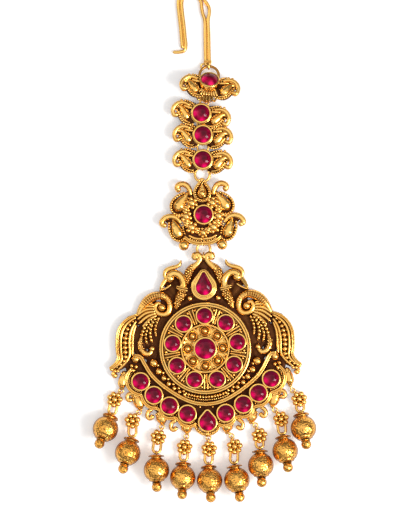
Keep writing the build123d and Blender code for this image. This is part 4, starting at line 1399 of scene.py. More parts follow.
        finish_piece(piece, ANTIQUE, ("pendant",), 70.0)

    def scrollwork(self) -> None:
        """Model all scrolls of both halves, the bar behind the top curls, and its loop."""
        made = [scroll.make() for scroll in both(self.ornaments())]
        made.append(Scroll([(-1.9, 20.2, 0.34), (1.9, 20.2, 0.34)], 0.4, 1.6, low=1.17).make())
        made.append(RING.cast([standing(0.1, 20.2, 1.1, 0.8)]))
        made.append(Scroll(self.low_arc, 0.55, section=Section.BAND).make())
        piece = join(made, "pendant_scrolls")
        face_outwards(piece)
        finish_piece(piece, ANTIQUE, ("pendant",))

    def medallion(self) -> None:
        """Model the round medallion's rim, boss, ribs, beads and ringed balls."""
        r = self.medallion_r
        rim = turn(closed([
            (r, 0.4), (r, 1.85), (r - 0.04, 2.06), (r - 0.12, 2.14), (r - 0.33, 2.15), (r - 0.4, 1.95),
            (r - 0.47, 1.95), (r - 0.53, 2.2), (r - 0.6, 2.28), (r - 0.84, 2.28), (r - 0.94, 2.1), (r - 0.98, 1.3),
            (r - 0.98, 0.4),
        ]), 128)
        ring = self.boss_r
        boss = turn([
            (0, 0.5), (ring + 0.02, 0.5), (ring, 2.4), (ring - 0.05, 2.58), (ring - 0.13, 2.66), (ring - 0.36, 2.66),
            (ring - 0.44, 2.5), (ring - 0.5, 1.75), (ring - 0.7, 1.62), (3.4, 1.62), (2.6, 1.8), (0, 1.8),
        ], 96)
        pieces = [rim, boss]
        small, rings = [], []
        for number in range(self.stones):
            angle = math.radians(90 + 360 / self.stones * (number + 0.5))
            across = Vector((-math.sin(angle), math.cos(angle)))
            out = Vector((math.cos(angle), math.sin(angle)))
            for side in (-1, 1):
                ends = []
                for reach in (5.7, 7.3, 8.85):
                    spot = out * reach + across * side * (0.24 + 0.05 * (reach - 5.7))
                    ends.append((*spot, 0.19))
                pieces.append(Scroll(ends, 0.85, 1.3).make())
                for reach, off, z, size in ((8.5, 0.85, 1.62, 0.34), (8.05, 1.35, 1.5, 0.25), (5.95, 0.72, 1.5, 0.25)):
                    small.append(ball_at(*(out * reach + across * side * off), z, size))
            stone = math.radians(90 + 360 / self.stones * number)
            for lean in (-0.15, 0.15):
                small.append(ball_at(8.98 * math.cos(stone + lean), 8.98 * math.sin(stone + lean), 1.5, 0.16))
        for x, y in round_about(self.boss_balls, self.boss_balls_r):
            rings.append(place(x, y, 1.85, math.atan2(y, x), (1.02, 1.02, 1.1)))
            small.append(place(x, y, 2.12, 0, (0.66, 0.66, 0.7)))
        for reach, size in ((4.55, 0.27), (3.1, 0.22)):
            between = round_about(self.boss_balls, reach, 180 / self.boss_balls)
            small += [ball_at(x, y, 1.85, size) for x, y in between]
        pieces += [PEARL.cast(small), RING.cast(rings)]
        piece = join(pieces, "pendant_medallion")
        face_outwards(piece)
        finish_piece(piece, ANTIQUE, ("pendant",), 45.0)

    def ring_places(self) -> list[Spot]:
        """Where the medallion's small stones stand."""
        return round_about(self.stones, self.stones_r, 90)

    def crescent_places(self) -> list[Spot]:
        """Where the crescent's stones stand, from left to right."""
        return sorted(list(self.crescent) + [(-x, y) for x, y in self.crescent])

    def pear_wall(self, pear: Pear, wide: float, lip: float, grow: float = 0.0) -> Piece:
        """Model a smooth wall round a pear stone.

        Args:
            pear: The stone's outline.
            wide: Width of the wall.
            lip: Height of the wall.
            grow: How far it stands off the stone, past the gap.

        Returns:
            The wall.
        """
        half, y_round, y_point, tip = pear
        inner = half + STONE_GAP + grow
        wall = turn(collet(inner, inner + wide, 0.9, lip), 64)
        outline = (inner, y_round, y_point, tip + STONE_GAP + grow * 0.3)
        move_points(wall, pear_points(points_of(wall), inner, outline))
        return wall

    def settings(self) -> None:
        """Model the smooth settings of all the pendant's stones."""
        ring = turn(collet(self.stone_r + STONE_GAP, 2.02, 1.2, self.lip), 36)
        crescent = turn(collet(self.crescent_r + STONE_GAP, 2.14, 0.9, self.crescent_lip), 40)
        pieces = [
            Casting.taken_from(wall).cast([Matrix.Translation((x, y, 0)) for x, y in places])
            for wall, places in ((ring, self.ring_places()), (crescent, self.crescent_places()))
        ]
        pieces.append(turn(collet(self.centre_r + STONE_GAP, 2.62, 1.9, self.centre_lip), 48))
        for wide, lip, grow in ((0.4, 2.6, 0.0), (0.4, 2.3, 0.3), (0.52, 2.12, 0.62)):
            pieces.append(self.pear_wall(self.top_pear, wide, lip, grow))
        low_wall = self.pear_wall(self.low_pear, 0.41, self.crescent_lip)
        low_wall.data.transform(Matrix.Translation((self.low_pear_x, 0, 0)))
        piece = join([*pieces, low_wall], "pendant_settings")
        face_outwards(piece)
        finish_piece(piece, BRIGHT, ("pendant",), 60.0)

    def stone_list(self) -> list[Stone]:
        """List every stone of the pendant.

        Returns:
            The stones, in the order that they are made.
        """
        rows = [("ring_" + str(number), self.stone_r, (x, y, self.lip), None)
                for number, (x, y) in enumerate(self.ring_places(), 1)]
        rows += [("crescent_" + str(number), self.crescent_r, (x, y, self.crescent_lip), None)
                 for number, (x, y) in enumerate(self.crescent_places(), 1)]
        rows += [
            ("centre", self.centre_r, (0, 0, self.centre_lip), None),
            ("top_pear", self.top_pear[0], (0, 0, self.lip), self.top_pear),
            ("low_pear", self.low_pear[0], (self.low_pear_x, 0, self.crescent_lip), self.low_pear),
        ]
        return [Stone("ruby_" + name, radius, Matrix.Translation(lip), pear=pear) for name, radius, lip, pear in rows]

    def build(self) -> None:
        """Build and dress the whole pendant."""
        self.plate()
        self.underlays()
        self.scrollwork()
        self.grains()
        self.medallion()
        self.settings()
        for stone in self.stone_list():
            stone.make()


@dataclass
class LinkWing:
    """The two mirrored wings that every small link has, round a stone at the origin.

    Attributes:
        outer: The scroll along the wing's edge.
        leaf: The leaf inside it.
        border: The string of beads below.
        crown: The string of beads above.
    """

    outer: Rows = (
        (3.0, 1.3, 0.3), (3.9, 1.6, 0.42), (4.95, 1.45, 0.5), (5.8, 0.8, 0.52), (6.2, -0.1, 0.5),
        (6.1, -0.95, 0.48), (5.7, -1.45, 0.5), (5.3, -1.3, 0.5),
    )
    leaf: Rows = (
        (5.45, 0.35, 0.28), (4.9, 0.6, 0.48), (4.3, 0.3, 0.68), (3.8, -0.35, 0.88), (3.15, -1.2, 0.98),
    )
    border: Rows = (
        (5.35, -0.25, 0.2), (4.95, -0.8, 0.22), (4.55, -1.5, 0.25), (4.0, -2.2, 0.26), (3.2, -2.75, 0.26),
        (2.2, -2.9, 0.25), (1.35, -2.65, 0.22),
    )
    crown: Rows = (
        (1.95, 1.6, 0.25), (2.7, 1.95, 0.26), (3.5, 2.15, 0.26), (4.3, 2.15, 0.24)
    )

    def ground(self) -> list[Piece]:
        """Model the dark plate behind both wings.

        Returns:
            Its strips.
        """
        strips = [
            [(1.8, 1.1, 0.9), (3.4, 1.4, 0.9), (4.8, 1.1, 0.8)],
            [(1.8, -1.2, 1.3), (2.9, -1.8, 1.15), (3.9, -1.2, 1.1), (4.6, -0.2, 0.9)],
            [(2.4, 0.2, 1.1), (4.2, 0.4, 0.9), (5.2, 0.1, 0.6)],
        ]
        return [strip.make() for strip in both([Scroll(rows, 0.4, 0.3, low=0.03) for rows in strips])]

    def make(self) -> list[Piece]:
        """Model the scrolls, borders and beads of both wings, on a plate whose underside is at height 0.

        Returns:
            The modelled shapes.
        """
        inner_wire = [
            (4.85, -0.45, 0.13), (4.35, -1.25, 0.14), (3.75, -1.9, 0.15), (3.0, -2.3, 0.15), (2.1, -2.45, 0.14)
        ]
        scrolls = [
            Scroll(self.outer, 0.95, 0.7, low=0.12),
            Scroll(self.leaf, 1.0, 0.65, low=0.1),
            Scroll(inner_wire, 0.7, 0.4, low=0.1),
            Scroll([(2.2, 0.75, 0.3), (3.0, 0.85, 0.36), (3.9, 0.98, 0.26)], 0.75, 0.45, low=0.1),
            Scroll([(4.4, 1.2, 0.2), (5.0, 1.0, 0.22), (5.5, 0.4, 0.2)], 0.7, 0.55, low=0.1),
        ]
        beads = strung(self.border, 0.52, 0.27, 0.95) + strung(self.crown, 0.52, 0.27, 0.95)
        beads += strung(self.crown[:3], 0.46, 0.22, 1.1, 0.2, -0.5)
        beads += strung([(3.7, 0.35, 0.1), (3.1, 0.1, 0.1), (2.6, -0.5, 0.1), (2.3, -1.2, 0.1)], 0.46, 0.22, 0.95)
        balls = [place(5.3, -1.35, 0.95, 0, (0.55, 0.55, 0.6)), place(4.75, 2.0, 0.9, 0, (0.34, 0.34, 0.4))]
        made = [scroll.make() for scroll in both(scrolls)]
        return [*made, BEAD.cast(mirrored_places(beads)), PEARL.cast(mirrored_places(balls))]


@dataclass
class Link:
    """A small winged link with one stone.

    Attributes:
        node: Its CAD node.
        x: Across, of its stone.
        y: Along, of its stone.
        turned: Its turn about the vertical, in degrees.
        lip: Height of the stone's setting.
        stone_r: Radius of the stone.
    """

    node: str
    x: float
    y: float
    turned: float
    lip: float = 1.5
    stone_r: float = 1.77

    def setting(self) -> Piece:
        """Model the stone's setting with a low step round it.

        Returns:
            The setting.
        """
        wall = turn(collet(self.stone_r + STONE_GAP, 2.22, 0.2, self.lip), 44)
        step = turn(closed([(2.32, 0.1), (2.36, 0.5), (2.3, 0.78), (2.2, 0.82), (1.8, 0.8), (1.8, 0.1)]), 40)
        return join([wall, step], self.node + "_setting")

    def build(self) -> None:
        """Model the link flat, then set it in its place with its stone."""
        seat = Matrix.Translation((self.x, self.y, LINK_LIFT)) @ Matrix.Rotation(math.radians(self.turned), 4, "Z")
        floor = turn([(0, 0.0), (2.3, 0.0), (2.34, 0.1), (2.34, 0.5), (0, 0.5)], 40)
        loops = RING.cast([standing(0, side * 1.5, 0.1, 0.8) for side in (-1, 1)])
        metal = join([*LinkWing().make(), loops], self.node + "_wings")
        ground = join([*LinkWing().ground(), floor], self.node + "_ground")
        for piece, finish in ((metal, ANTIQUE), (ground, TARNISHED_SHADED_GROUND)):
            piece.data.transform(seat)
            face_outwards(piece)
            finish_piece(piece, finish, (self.node,))
        setting = self.setting()
        setting.data.transform(seat)
        finish_piece(setting, BRIGHT, (self.node,))
        Stone("ruby_" + self.node, self.stone_r, seat @ Matrix.Translation((0, 0, self.lip))).make()


def tilted(origin: Row, turned: float, tilt: float) -> Matrix:
    """Turn a plane about the vertical and tip its face towards its own +Y.

    Args:
        origin: Where the plane's origin goes.
        turned: Its turn, in degrees.
        tilt: Its tilt, in degrees.

    Returns:
        The matrix of the plane.
    """
    spin = Matrix.Rotation(math.radians(turned), 4, "Z")
    return Matrix.Translation(origin) @ spin @ Matrix.Rotation(math.radians(-tilt), 4, "X")


@dataclass
class TopLink:
    """The first link, which leans back over the hook's ring, with its fanned tail.

    Attributes:
        plate: Where its plate's middle lies.
        stone: The middle of its setting's lip.
        tail: Where its tail starts.
        turned: Its turn about the vertical, in degrees.
        plate_tilt: Tilt of its plate, in degrees.
        stone_tilt: Tilt of its stone.
        tail_tilt: Tilt of its tail.
        stone_r: Radius of the stone.
    """

    plate: Row = (2.2, 57.1, 2.75)
    stone: Row = (2.2, 58.7, 4.3)
    tail: Row = (1.5, 55.3, 2.15)
    turned: float = -7.0
    plate_tilt: float = 18.0
    stone_tilt: float = 38.0
    tail_tilt: float = -33.0
    stone_r: float = 1.77

    def build(self) -> None:
        """Model the leaning plate, the stone's setting and the tail."""
        node = "link_1"
        leaning = tilted(self.plate, self.turned, self.plate_tilt)
        fins = [
            Scroll([(side * 0.5, 0.3, 0.2), (side * 1.25, -1.0, 0.27), (side * 1.75, -2.15, 0.25)], 0.5, 0.6).make()
            for side in (-1, -0.66, -0.33, 0, 0.33, 0.66, 1)
        ]
        wings = join([*LinkWing().make(), *fins], "wings")
        wings.data.transform(leaning)
        floor = turn([(0, 0.05), (2.2, 0.05), (2.2, 0.7), (0, 0.7)], 32)
        ground = join([*LinkWing().ground(), floor], node + "_ground")
        ground.data.transform(leaning)
        face_outwards(ground)
        finish_piece(ground, TARNISHED_SHADED_GROUND, (node,))
        lip = tilted(self.stone, self.turned, self.stone_tilt)
        wall = turn(collet(self.stone_r + STONE_GAP, 2.22, -1.45, 0.0), 44)
        base = turn([(0, -1.5), (2.16, -1.5), (2.16, -0.95), (0, -0.95)], 40)
        setting = join([wall, base], node + "_setting")
        setting.data.transform(lip)
        fan = tilted(self.tail, self.turned, self.tail_tilt)
        blades = []
        for number in range(-3, 4):
            aside = number / 3
            rows = [(aside * 0.9, 2.4, 0.22), (aside * 1.75, 1.0, 0.27), (aside * 1.85, -0.6, 0.25),
                    (aside * 1.5, -1.15 + abs(aside) * 0.4, 0.18)]
            blades.append(Scroll(rows, 0.5, 0.62, low=0.05).make())
        blades.append(Scroll([(0.2, 2.0, 1.7), (0.0, 0.0, 1.3), (-0.1, -0.6, 1.0)], 0.35, 0.35, low=0.05).make())
        bead_line = [(-1.7, 1.4, 0.1), (-0.9, 1.9, 0.1), (0.9, 1.9, 0.1), (1.7, 1.4, 0.1)]
        blades.append(BEAD.cast(strung(bead_line, 0.4, 0.22, 0.95)))
        tail = join(blades, "tail")
        tail.data.transform(fan)
        loops = RING.cast([standing(2.1, 57.77, 2.62, 1.15), standing(1.3, 54.7, 1.1, 0.8)])
        metal = join([wings, tail, loops], node + "_wings")
        face_outwards(metal)
        finish_piece(metal, ANTIQUE, (node,))
        finish_piece(setting, BRIGHT, (node,))
        Stone("ruby_link_1", self.stone_r, lip).make()


@dataclass
class RosetteLink:
    """The large link: a stone in a wreath, a pear ornament, four paisley leaves and two balls.

    Attributes:
        centre: Across and along, of its stone.
        lip: Height of the stone's setting.
        stone_r: Radius of the stone.
        rim_rise: Height of the leaves' rims, which carry beads.
        sheet: Thickness of its back plate.
    """

    centre: Spot = (0.28, 29.3)
    lip: float = 2.6
    stone_r: float = 1.82
    rim_rise: float = 0.42
    sheet: float = 0.7

    def scrolls(self) -> list[Scroll]:
        """List the scrolls and leaves of the right half.

        Returns:
            The scrolls, in the order that they are made.
        """
        base = LINK_LIFT + 0.55
        upper_curl = [
            (2.5, 33.9, 0.45), (2.75, 34.9, 0.6), (3.5, 35.85, 0.66), (4.6, 36.05, 0.66), (5.4, 35.45, 0.62),
            (5.2, 34.8, 0.6),
        ]
        upper_leaf = [(3.1, 34.1, 0.3), (3.65, 33.4, 0.72), (4.35, 32.5, 1.15), (5.05, 31.35, 1.5)]
        upper_rim = [
            (4.0, 34.15, 0.26), (5.0, 33.75, 0.28), (6.05, 33.0, 0.3), (6.75, 31.95, 0.3), (6.85, 30.9, 0.3),
            (6.45, 29.95, 0.28), (5.7, 29.4, 0.28), (4.9, 29.35, 0.26),
        ]
        lower_curl = [
            (4.9, 27.7, 0.34), (5.5, 28.5, 0.5), (6.5, 29.0, 0.62), (7.75, 28.9, 0.66), (8.65, 28.3, 0.64),
            (8.95, 27.5, 0.6), (8.5, 27.1, 0.56),
        ]
        lower_leaf = [(6.5, 28.3, 0.3), (6.25, 27.5, 0.72), (5.95, 26.6, 1.12), (5.5, 25.45, 1.42)]
        lower_rim = [
            (7.35, 27.6, 0.26), (7.4, 26.5, 0.28), (7.1, 25.3, 0.3), (6.5, 24.3, 0.3), (5.6, 23.7, 0.28),
            (4.6, 23.75, 0.26), (3.9, 24.4, 0.24),
        ]
        swag = [(0.2, 22.95, 0.42), (1.8, 23.15, 0.44), (3.2, 23.8, 0.42), (3.9, 24.4, 0.34)]
        inner_band = [(0.3, 24.0, 0.3), (1.7, 24.15, 0.32), (2.9, 24.7, 0.3)]
        link_bar = [(4.6, 29.2, 0.5), (5.6, 28.9, 0.5), (6.6, 28.9, 0.4)]
        return [
            Scroll(upper_curl, 0.95, base), Scroll(upper_leaf, 1.25, base),
            Scroll(upper_rim, self.rim_rise, base), Scroll(lower_curl, 0.95, base),
            Scroll(lower_leaf, 1.25, base), Scroll(lower_rim, self.rim_rise, base),
            Scroll(swag, 0.6, base + 0.1, Section.BAND), Scroll(inner_band, 0.45, base + 0.1),
            Scroll(link_bar, 0.55, base),
        ]

    def ground(self) -> None:
        """Model the dark plate behind the link."""
        plates = [
            Scroll([(0.1, 28.7, 4.2), (0.1, 28.8, 4.2)], 4.2, 1.4, low=LINK_LIFT),
            Scroll([(0.0, 31.0, 2.0), (0.05, 34.2, 1.75), (0.02, 36.5, 0.4)], 2.0, 1.4, low=LINK_LIFT),
            *both([Scroll(rows, rise, 1.4, low=LINK_LIFT) for rise, rows in (
                (1.1, [(0.3, 32.6, 1.1), (2.6, 33.0, 1.0)]),
                (1.4, [(2.6, 34.0, 0.8), (4.2, 32.7, 1.0), (5.4, 31.4, 1.4), (5.7, 30.3, 0.9)]),
                (1.6, [(0.5, 25.0, 1.6), (3.9, 25.2, 1.7), (5.6, 25.6, 1.5), (6.2, 27.4, 1.0), (7.6, 28.2, 0.6)]),
                (1.2, [(0.5, 29.2, 1.2), (5.0, 29.2, 1.1)]),
                (0.6, [(0.2, 23.4, 0.45), (2.0, 23.6, 0.45), (4.2, 22.9, 0.6)]),
            )]),
        ]
        ground = join([plate.make() for plate in plates], "rosette_link_ground")
        welded(ground, LINK_LIFT, LINK_LIFT + self.sheet, 0.14)
        finish_piece(ground, TARNISHED_SHADED_GROUND, ("rosette_link",), 35.0)

    def beadwork(self) -> list[Piece]:
        """Model the beads, the wreath and the balls.

        Returns:
            The modelled shapes.
        """
        small, round_ones = [], []
        for scroll in self.scrolls():
            if scroll.rise == self.rim_rise:
                small += strung(scroll.rows, 0.56, 0.3, 2.05)
        small += strung([(0.2, 23.5, 0.3), (1.8, 23.7, 0.3), (3.2, 24.3, 0.3)], 0.5, 0.2, 2.0, 0.2)
        small += strung([(3.0, 33.0, 0.3), (3.6, 32.0, 0.3), (3.7, 31.2, 0.3)], 0.52, 0.24, 1.95)
        small += strung([(5.0, 28.2, 0.3), (4.5, 27.2, 0.3), (4.2, 26.0, 0.3), (3.9, 25.1, 0.3)], 0.52, 0.24, 1.95)
        clusters = (
            (2.25, 31.85, 0.9), (3.6, 30.5, 0.55), (3.55, 28.95, 0.9), (3.45, 27.5, 0.55), (2.4, 26.55, 0.95),
            (1.2, 25.9, 0.5),
        )
        round_ones += [ball_at(5.15, 34.95, 1.9, 0.62), ball_at(8.4, 27.15, 1.9, 0.62)]
        for x, y, r in clusters:
            round_ones.append(place(x, y, 2.15, 0, (r, r, r * 0.95)))
            small += [ball_at(*spot, 2.05, 0.16 + 0.4 * r) for spot in round_about(6, r * 1.05, 20, x, y)]
        small, round_ones = mirrored_places(small), mirrored_places(round_ones)
        small += [ball_at(*spot, 1.95, 0.42) for spot in round_about(7, 0.85, 0, 0.1, 25.35)]
        round_ones += [ball_at(0.1, 25.35, 2.2, 0.78), ball_at(0.05, 33.9, 2.1, 0.75)]
        round_ones += [ball_at(side * 4.2, 22.65, 2.0, 1.15) for side in (-1, 1)]
        pear_line = [
            (0.05, 36.9, 0.2), (0.75, 36.0, 0.2), (1.4, 35.0, 0.2), (1.6, 34.0, 0.2), (1.2, 32.9, 0.2),
            (0.1, 32.4, 0.2), (-1.1, 32.9, 0.2), (-1.5, 34.0, 0.2), (-1.3, 35.0, 0.2), (-0.65, 36.0, 0.2),
        ]
        small += strung(pear_line + pear_line[:1], 0.5, 0.26, 2.2)
        dome = [(0.05, 36.2, 0.25), (0.05, 35.5, 0.6), (0.05, 34.7, 1.0), (0.05, 33.9, 1.25)]
        outer_wire = [((x - 0.05) * 1.17 + 0.05, (y - 34.2) * 1.12 + 34.2, 0.17) for x, y, _ in pear_line]
        pear = [Scroll(dome, 0.85, 1.65).make(), Scroll(outer_wire, 0.7, 1.5, closed=True).make()]
        return [BEAD.cast(small), PEARL.cast(round_ones), *pear]

    def build(self) -> None:
        """Model the link in its place and dress it."""
        node = "rosette_link"
        self.ground()
        loops = RING.cast([standing(0.1, y, 1.1, 0.8) for y in (36.4, 23.3)])
        scrolls = [scroll.make() for scroll in both(self.scrolls())]
        metal = join([*scrolls, *self.beadwork(), loops], node + "_metal")
        face_outwards(metal)
        finish_piece(metal, ANTIQUE, (node,))
        setting = turn(collet(self.stone_r + STONE_GAP, 2.26, 1.3, self.lip), 44, node + "_setting")
        setting.data.transform(Matrix.Translation((*self.centre, 0)))
        finish_piece(setting, BRIGHT, (node,))
        Stone("ruby_rosette_link", self.stone_r, Matrix.Translation((*self.centre, self.lip))).make()


@dataclass
class Drop:
    """One drop of the fringe: a beaded flower that hooks the pendant, and a hammered ball.

    Attributes:
        number: Its number from the left.
        flower_x, flower_y: Middle of its flower.
        ball_x, ball_y: Middle of its ball.
        lean: The ball's lean in plan, in degrees.
        dip: How far its cap dips, in degrees.
        heading: Heading of the flower's hook, in degrees.
        ball_r: Radius of the ball.
        eye_far: Distance from the ball's middle to its eye.
        eye_r: Radius of its eye and of the flower's hook.
        flower_hook: Distance from the flower's middle to its hook.
        eyelet_r: Radius of the pendant's eyelet.
        eyelet_z: Height of the eyelet.
        petals: How many beads stand round the flower's middle.
        marks: How many hammer marks the ball has.
        mark_depth: Their depth.
        mark_angle: Their radius, as an angle from the ball's middle, in radians.
        marks_from: Height that they start at, in ball radii.
        groove: Height and width, in ball radii, and depth of the groove at its foot.
        band: The same of the raised band below it.
    """

    number: int
    flower_x: float
    flower_y: float
    ball_x: float
    ball_y: float
    lean: float
    dip: float
    heading: float
    ball_r: float = 2.85
    eye_far: float = 3.75
    eye_r: float = 0.42
    flower_hook: float = 1.85
    eyelet_r: float = 0.5
    eyelet_z: float = 0.65
    petals: int = 7
    marks: int = 190
    mark_depth: float = 0.03
    mark_angle: float = 0.15
    marks_from: float = -0.7
    groove: Row = (-0.74, 0.035, 0.16)
    band: Row = (-0.83, 0.04, 0.05)

    def __post_init__(self) -> None:
        """Work out the ball's axis and eye, the flower's middle and its hook."""
        lean, dip = math.radians(self.lean), math.radians(self.dip)
        self.axis = Vector((-math.sin(lean) * math.cos(dip), math.cos(lean) * math.cos(dip), -math.sin(dip)))
        self.ball = Vector((self.ball_x, self.ball_y, self.ball_r))
        self.eye = self.ball + self.axis * self.eye_far
        plan = Vector((self.flower_x - self.eye.x, self.flower_y - self.eye.y, 0))
        turned = math.radians(self.heading)
        self.toward = Vector((math.sin(turned), math.cos(turned), 0))
        forward = self.flower_hook * self.toward.dot(plan.normalized())
        slope = (self.eyelet_z - self.eye.z) / (plan.length + forward)
        self.flower = Vector((self.flower_x, self.flower_y, self.eye.z + slope * plan.length))
        self.hook = Vector((self.flower_x, self.flower_y, 0)) + self.toward * self.flower_hook
        self.hook.z = self.eyelet_z

    def eye_at(self, middle: Vector, along: Vector) -> Piece:
        """Model an eye that stands on edge.

        Args:
            middle: Its middle.
            along: A direction in its upright plane.

        Returns:
            The eye.
        """
        side = Vector((along.y, -along.x, 0)).normalized()
        ahead = along.normalized()
        turned = Matrix((ahead, side.cross(ahead), side)).transposed().to_4x4()
        return THICK_RING.cast([Matrix.Translation(middle) @ turned @ Matrix.Scale(self.eye_r, 4)])

    def make_flower(self) -> None:
        """Model beads round a middle one, a U loop below, and the hook ring above."""
        up = self.flower - self.eye
        side = Vector((up.y, -up.x, 0)).normalized()
        ahead = up.normalized()
        frame_here = Matrix((side, ahead, side.cross(ahead))).transposed().to_4x4()
        frame_here.translation = self.flower
        low = -up.length
        beads = [ball_at(*spot, 0.15, 0.6) for spot in round_about(self.petals, 1.2, 90 + 180 / self.petals)]
        beads.append(ball_at(0, 0, 0.3, 0.66))
        disc = turn([(0, -0.24), (1.2, -0.24), (1.3, -0.1), (1.3, 0.06), (1.15, 0.16), (0, 0.16)], 28)
        side_low = (low - 0.4) / 2
        u_loop = [(0.8, -0.8), (0.82, side_low), (0.78, low + 0.65), (0.5, low + 0.2), (0.0, low),
                  (-0.5, low + 0.2), (-0.78, low + 0.65), (-0.82, side_low), (-0.8, -0.8)]
        loop = Scroll([(x, y, 0.31) for x, y in u_loop], 0.31, 0.0, low=-1.0).make()
        flower = join([disc, PEARL.cast(beads), loop], "flower")
        flower.data.transform(frame_here)
        flower = join([flower, self.eye_at(self.hook, self.toward)], "drop_flower_metal_" + str(self.number))
        face_outwards(flower)
        finish_piece(flower, ANTIQUE, ("drop_flower_" + str(self.number),), 60.0)

    def make_ball(self) -> None:
        """Model a hammered ball with a saucer cap, an eye and a smooth finial."""
        put_down()
        bpy.ops.mesh.primitive_uv_sphere_add(segments=72, ring_count=48, radius=self.ball_r - 0.03, location=(0, 0, 0))
        ball = bpy.context.object
        points = points_of(ball)
        aim = points / np.linalg.norm(points, axis=1)[:, None]
        height = aim[:, 2]
        groove, band = (
            np.exp(-(((height - at) / wide) ** 2)) * deep for at, wide, deep in (self.groove, self.band)
        )
        shape = 1 + (band - groove - self.dents(aim) * (height > self.marks_from)) / self.ball_r
        move_points(ball, points * shape[:, None])
        trim = turn([
            (0, -3.0), (0.95, -2.75), (1.05, -2.85), (0.95, -2.98), (0.5, -3.0), (0.42, -3.1), (0, -3.1)
        ], 32)
        finial = BALL.cast([Matrix.Translation((0, 0, -3.7)) @ Matrix.Rotation(math.pi, 4, "X") @ Matrix.Scale(1.1, 4)])
        cap = turn([
            (0, 2.4), (1.05, 2.4), (1.1, 2.75), (1.2, 2.9), (1.7, 2.88), (1.78, 2.98), (1.72, 3.1), (1.4, 3.2),
            (1.1, 3.34), (0.5, 3.42), (0, 3.44)
        ], 40)
        body = join([ball, trim, finial, cap], "ball")
        turned = self.axis.to_track_quat("Z", "Y").to_matrix().to_4x4()
        body.data.transform(Matrix.Translation(self.ball) @ turned @ Matrix.Rotation(self.number * 0.9, 4, "Z"))
        ball = join([body, self.eye_at(self.eye, self.axis)], "drop_ball_metal_" + str(self.number))
        face_outwards(ball)
        finish_piece(ball, HAMMERED, ("drop_ball_" + str(self.number),), 60.0)

    def dents(self, aim: np.ndarray) -> np.ndarray:
        """Work out the depth of the hammer marks in each direction.

        Args:
            aim: Directions from the ball's middle, as unit rows.

        Returns:
            The depth of each, in millimetres.
        """
        number = np.arange(self.marks) + 0.5
        tall = 1 - 2 * number / self.marks
        wide = np.sqrt(1 - tall**2)
        around = number * math.pi * (3 - math.sqrt(5)) + self.number
        marks = np.stack([wide * np.cos(around), wide * np.sin(around), tall], axis=1)
        nearest = np.arccos(np.clip((aim @ marks.T).max(axis=1), -1, 1))
        return self.mark_depth * np.clip(1 - (nearest / self.mark_angle) ** 2, 0, 1)

    def make_eyelet(self) -> Piece:
        """Model the pendant's eyelet that this drop hangs from.

        Returns:
            The eyelet.
        """
        middle = self.hook + self.toward * self.eyelet_r
        return THICK_RING.cast([Matrix.Translation(middle) @ Matrix.Scale(self.eyelet_r, 4)])


@dataclass
class Fringe:
    """The nine drops and the pendant's eyelets.

    Attributes:
        drops: For each drop, the places, angles and heading that `Drop` takes.
        anchors: Where the strip of each drop's eyelet starts on the pendant.
    """

    drops: tuple[tuple[float, ...], ...] = (
        (-20.1, -10.85, -22.15, -17.1, -23.0, 28.0, 37.0),
        (-16.3, -15.6, -17.4, -22.4, -17.0, 20.0, 39.0),
        (-10.7, -19.3, -11.2, -26.3, 0.0, 8.0, 21.0),
        (-5.0, -21.6, -5.5, -28.1, -3.0, 20.0, 12.0),
        (0.4, -22.1, 0.35, -28.9, 3.0, 19.0, -2.0),
        (6.0, -21.7, 6.3, -28.9, 9.0, 10.0, -15.0),
        (11.5, -19.4, 11.6, -25.75, 2.0, 12.0, -20.0),
        (16.3, -15.9, 17.0, -22.7, 8.0, 16.0, -33.0),
        (20.4, -11.6, 21.1, -17.85, 8.0, 22.0, -36.0),
    )
    anchors: tuple[Spot, ...] = (
        (-18.5, -8.3), (-14.5, -13.1), (-9.7, -16.4), (-4.4, -18.6), (0.2, -18.9), (4.4, -18.6), (9.7, -16.4),
        (14.5, -13.1), (18.5, -8.3),
    )

    def build(self) -> None:
        """Make every drop, and the eyelets with the strips that hold them."""
        eyelets = []
        for number, (row, (x, y)) in enumerate(zip(self.drops, self.anchors), 1):
            drop = Drop(number, *row)
            drop.make_flower()
            drop.make_ball()
            eyelets.append(drop.make_eyelet())
            near = drop.hook + drop.toward * drop.eyelet_r * 2
            strip = [(x, y, 0.4), ((x + near.x) / 2, (y + near.y) / 2, 0.3), (near.x, near.y, 0.2)]
            eyelets.append(Scroll(strip, 0.35, 0.65, low=0.2).make())
        piece = join(eyelets, "pendant_eyelets")
        face_outwards(piece)
        finish_piece(piece, ANTIQUE, ("pendant",))


@dataclass
class JumpRing:
    """A round ring with a fine closed cut, in the place of its CAD node.

    Attributes:
        node: Its CAD node.
        wire: Radius of its wire.
        tilt: Its tilt towards +Y, in degrees.
        finish: Its finish.
        start: Bearing of one side of the cut, in degrees.
        sweep: How far round the wire goes from there.
        steps: How many steps it is drawn in.
    """

    node: str
    wire: float
    tilt: float = 0.0
    finish: GoldFinish = ANTIQUE
    start: float = 100.0
    sweep: float = 352.0
    steps: int = 24

    def build(self) -> None:
        """Bend the wire round, leaving the cut, and set it in its node's place."""
        low, high = (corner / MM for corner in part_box(self.node))
        middle = (low + high) / 2
        radius = (high.x - low.x) / 2 - self.wire
        angles = [math.radians(self.start + self.sweep * number / self.steps) for number in range(self.steps + 1)]
        rows = [(radius * math.cos(angle), radius * math.sin(angle), self.wire) for angle in angles]
        ring = Scroll(rows, self.wire, 0.0, low=-2.0).make()
        ring.name = self.node + "_wire"
        ring.data.transform(tilted((middle.x, middle.y, middle.z), 0.0, self.tilt))
        face_outwards(ring)
        finish_piece(ring, self.finish, (self.node,))


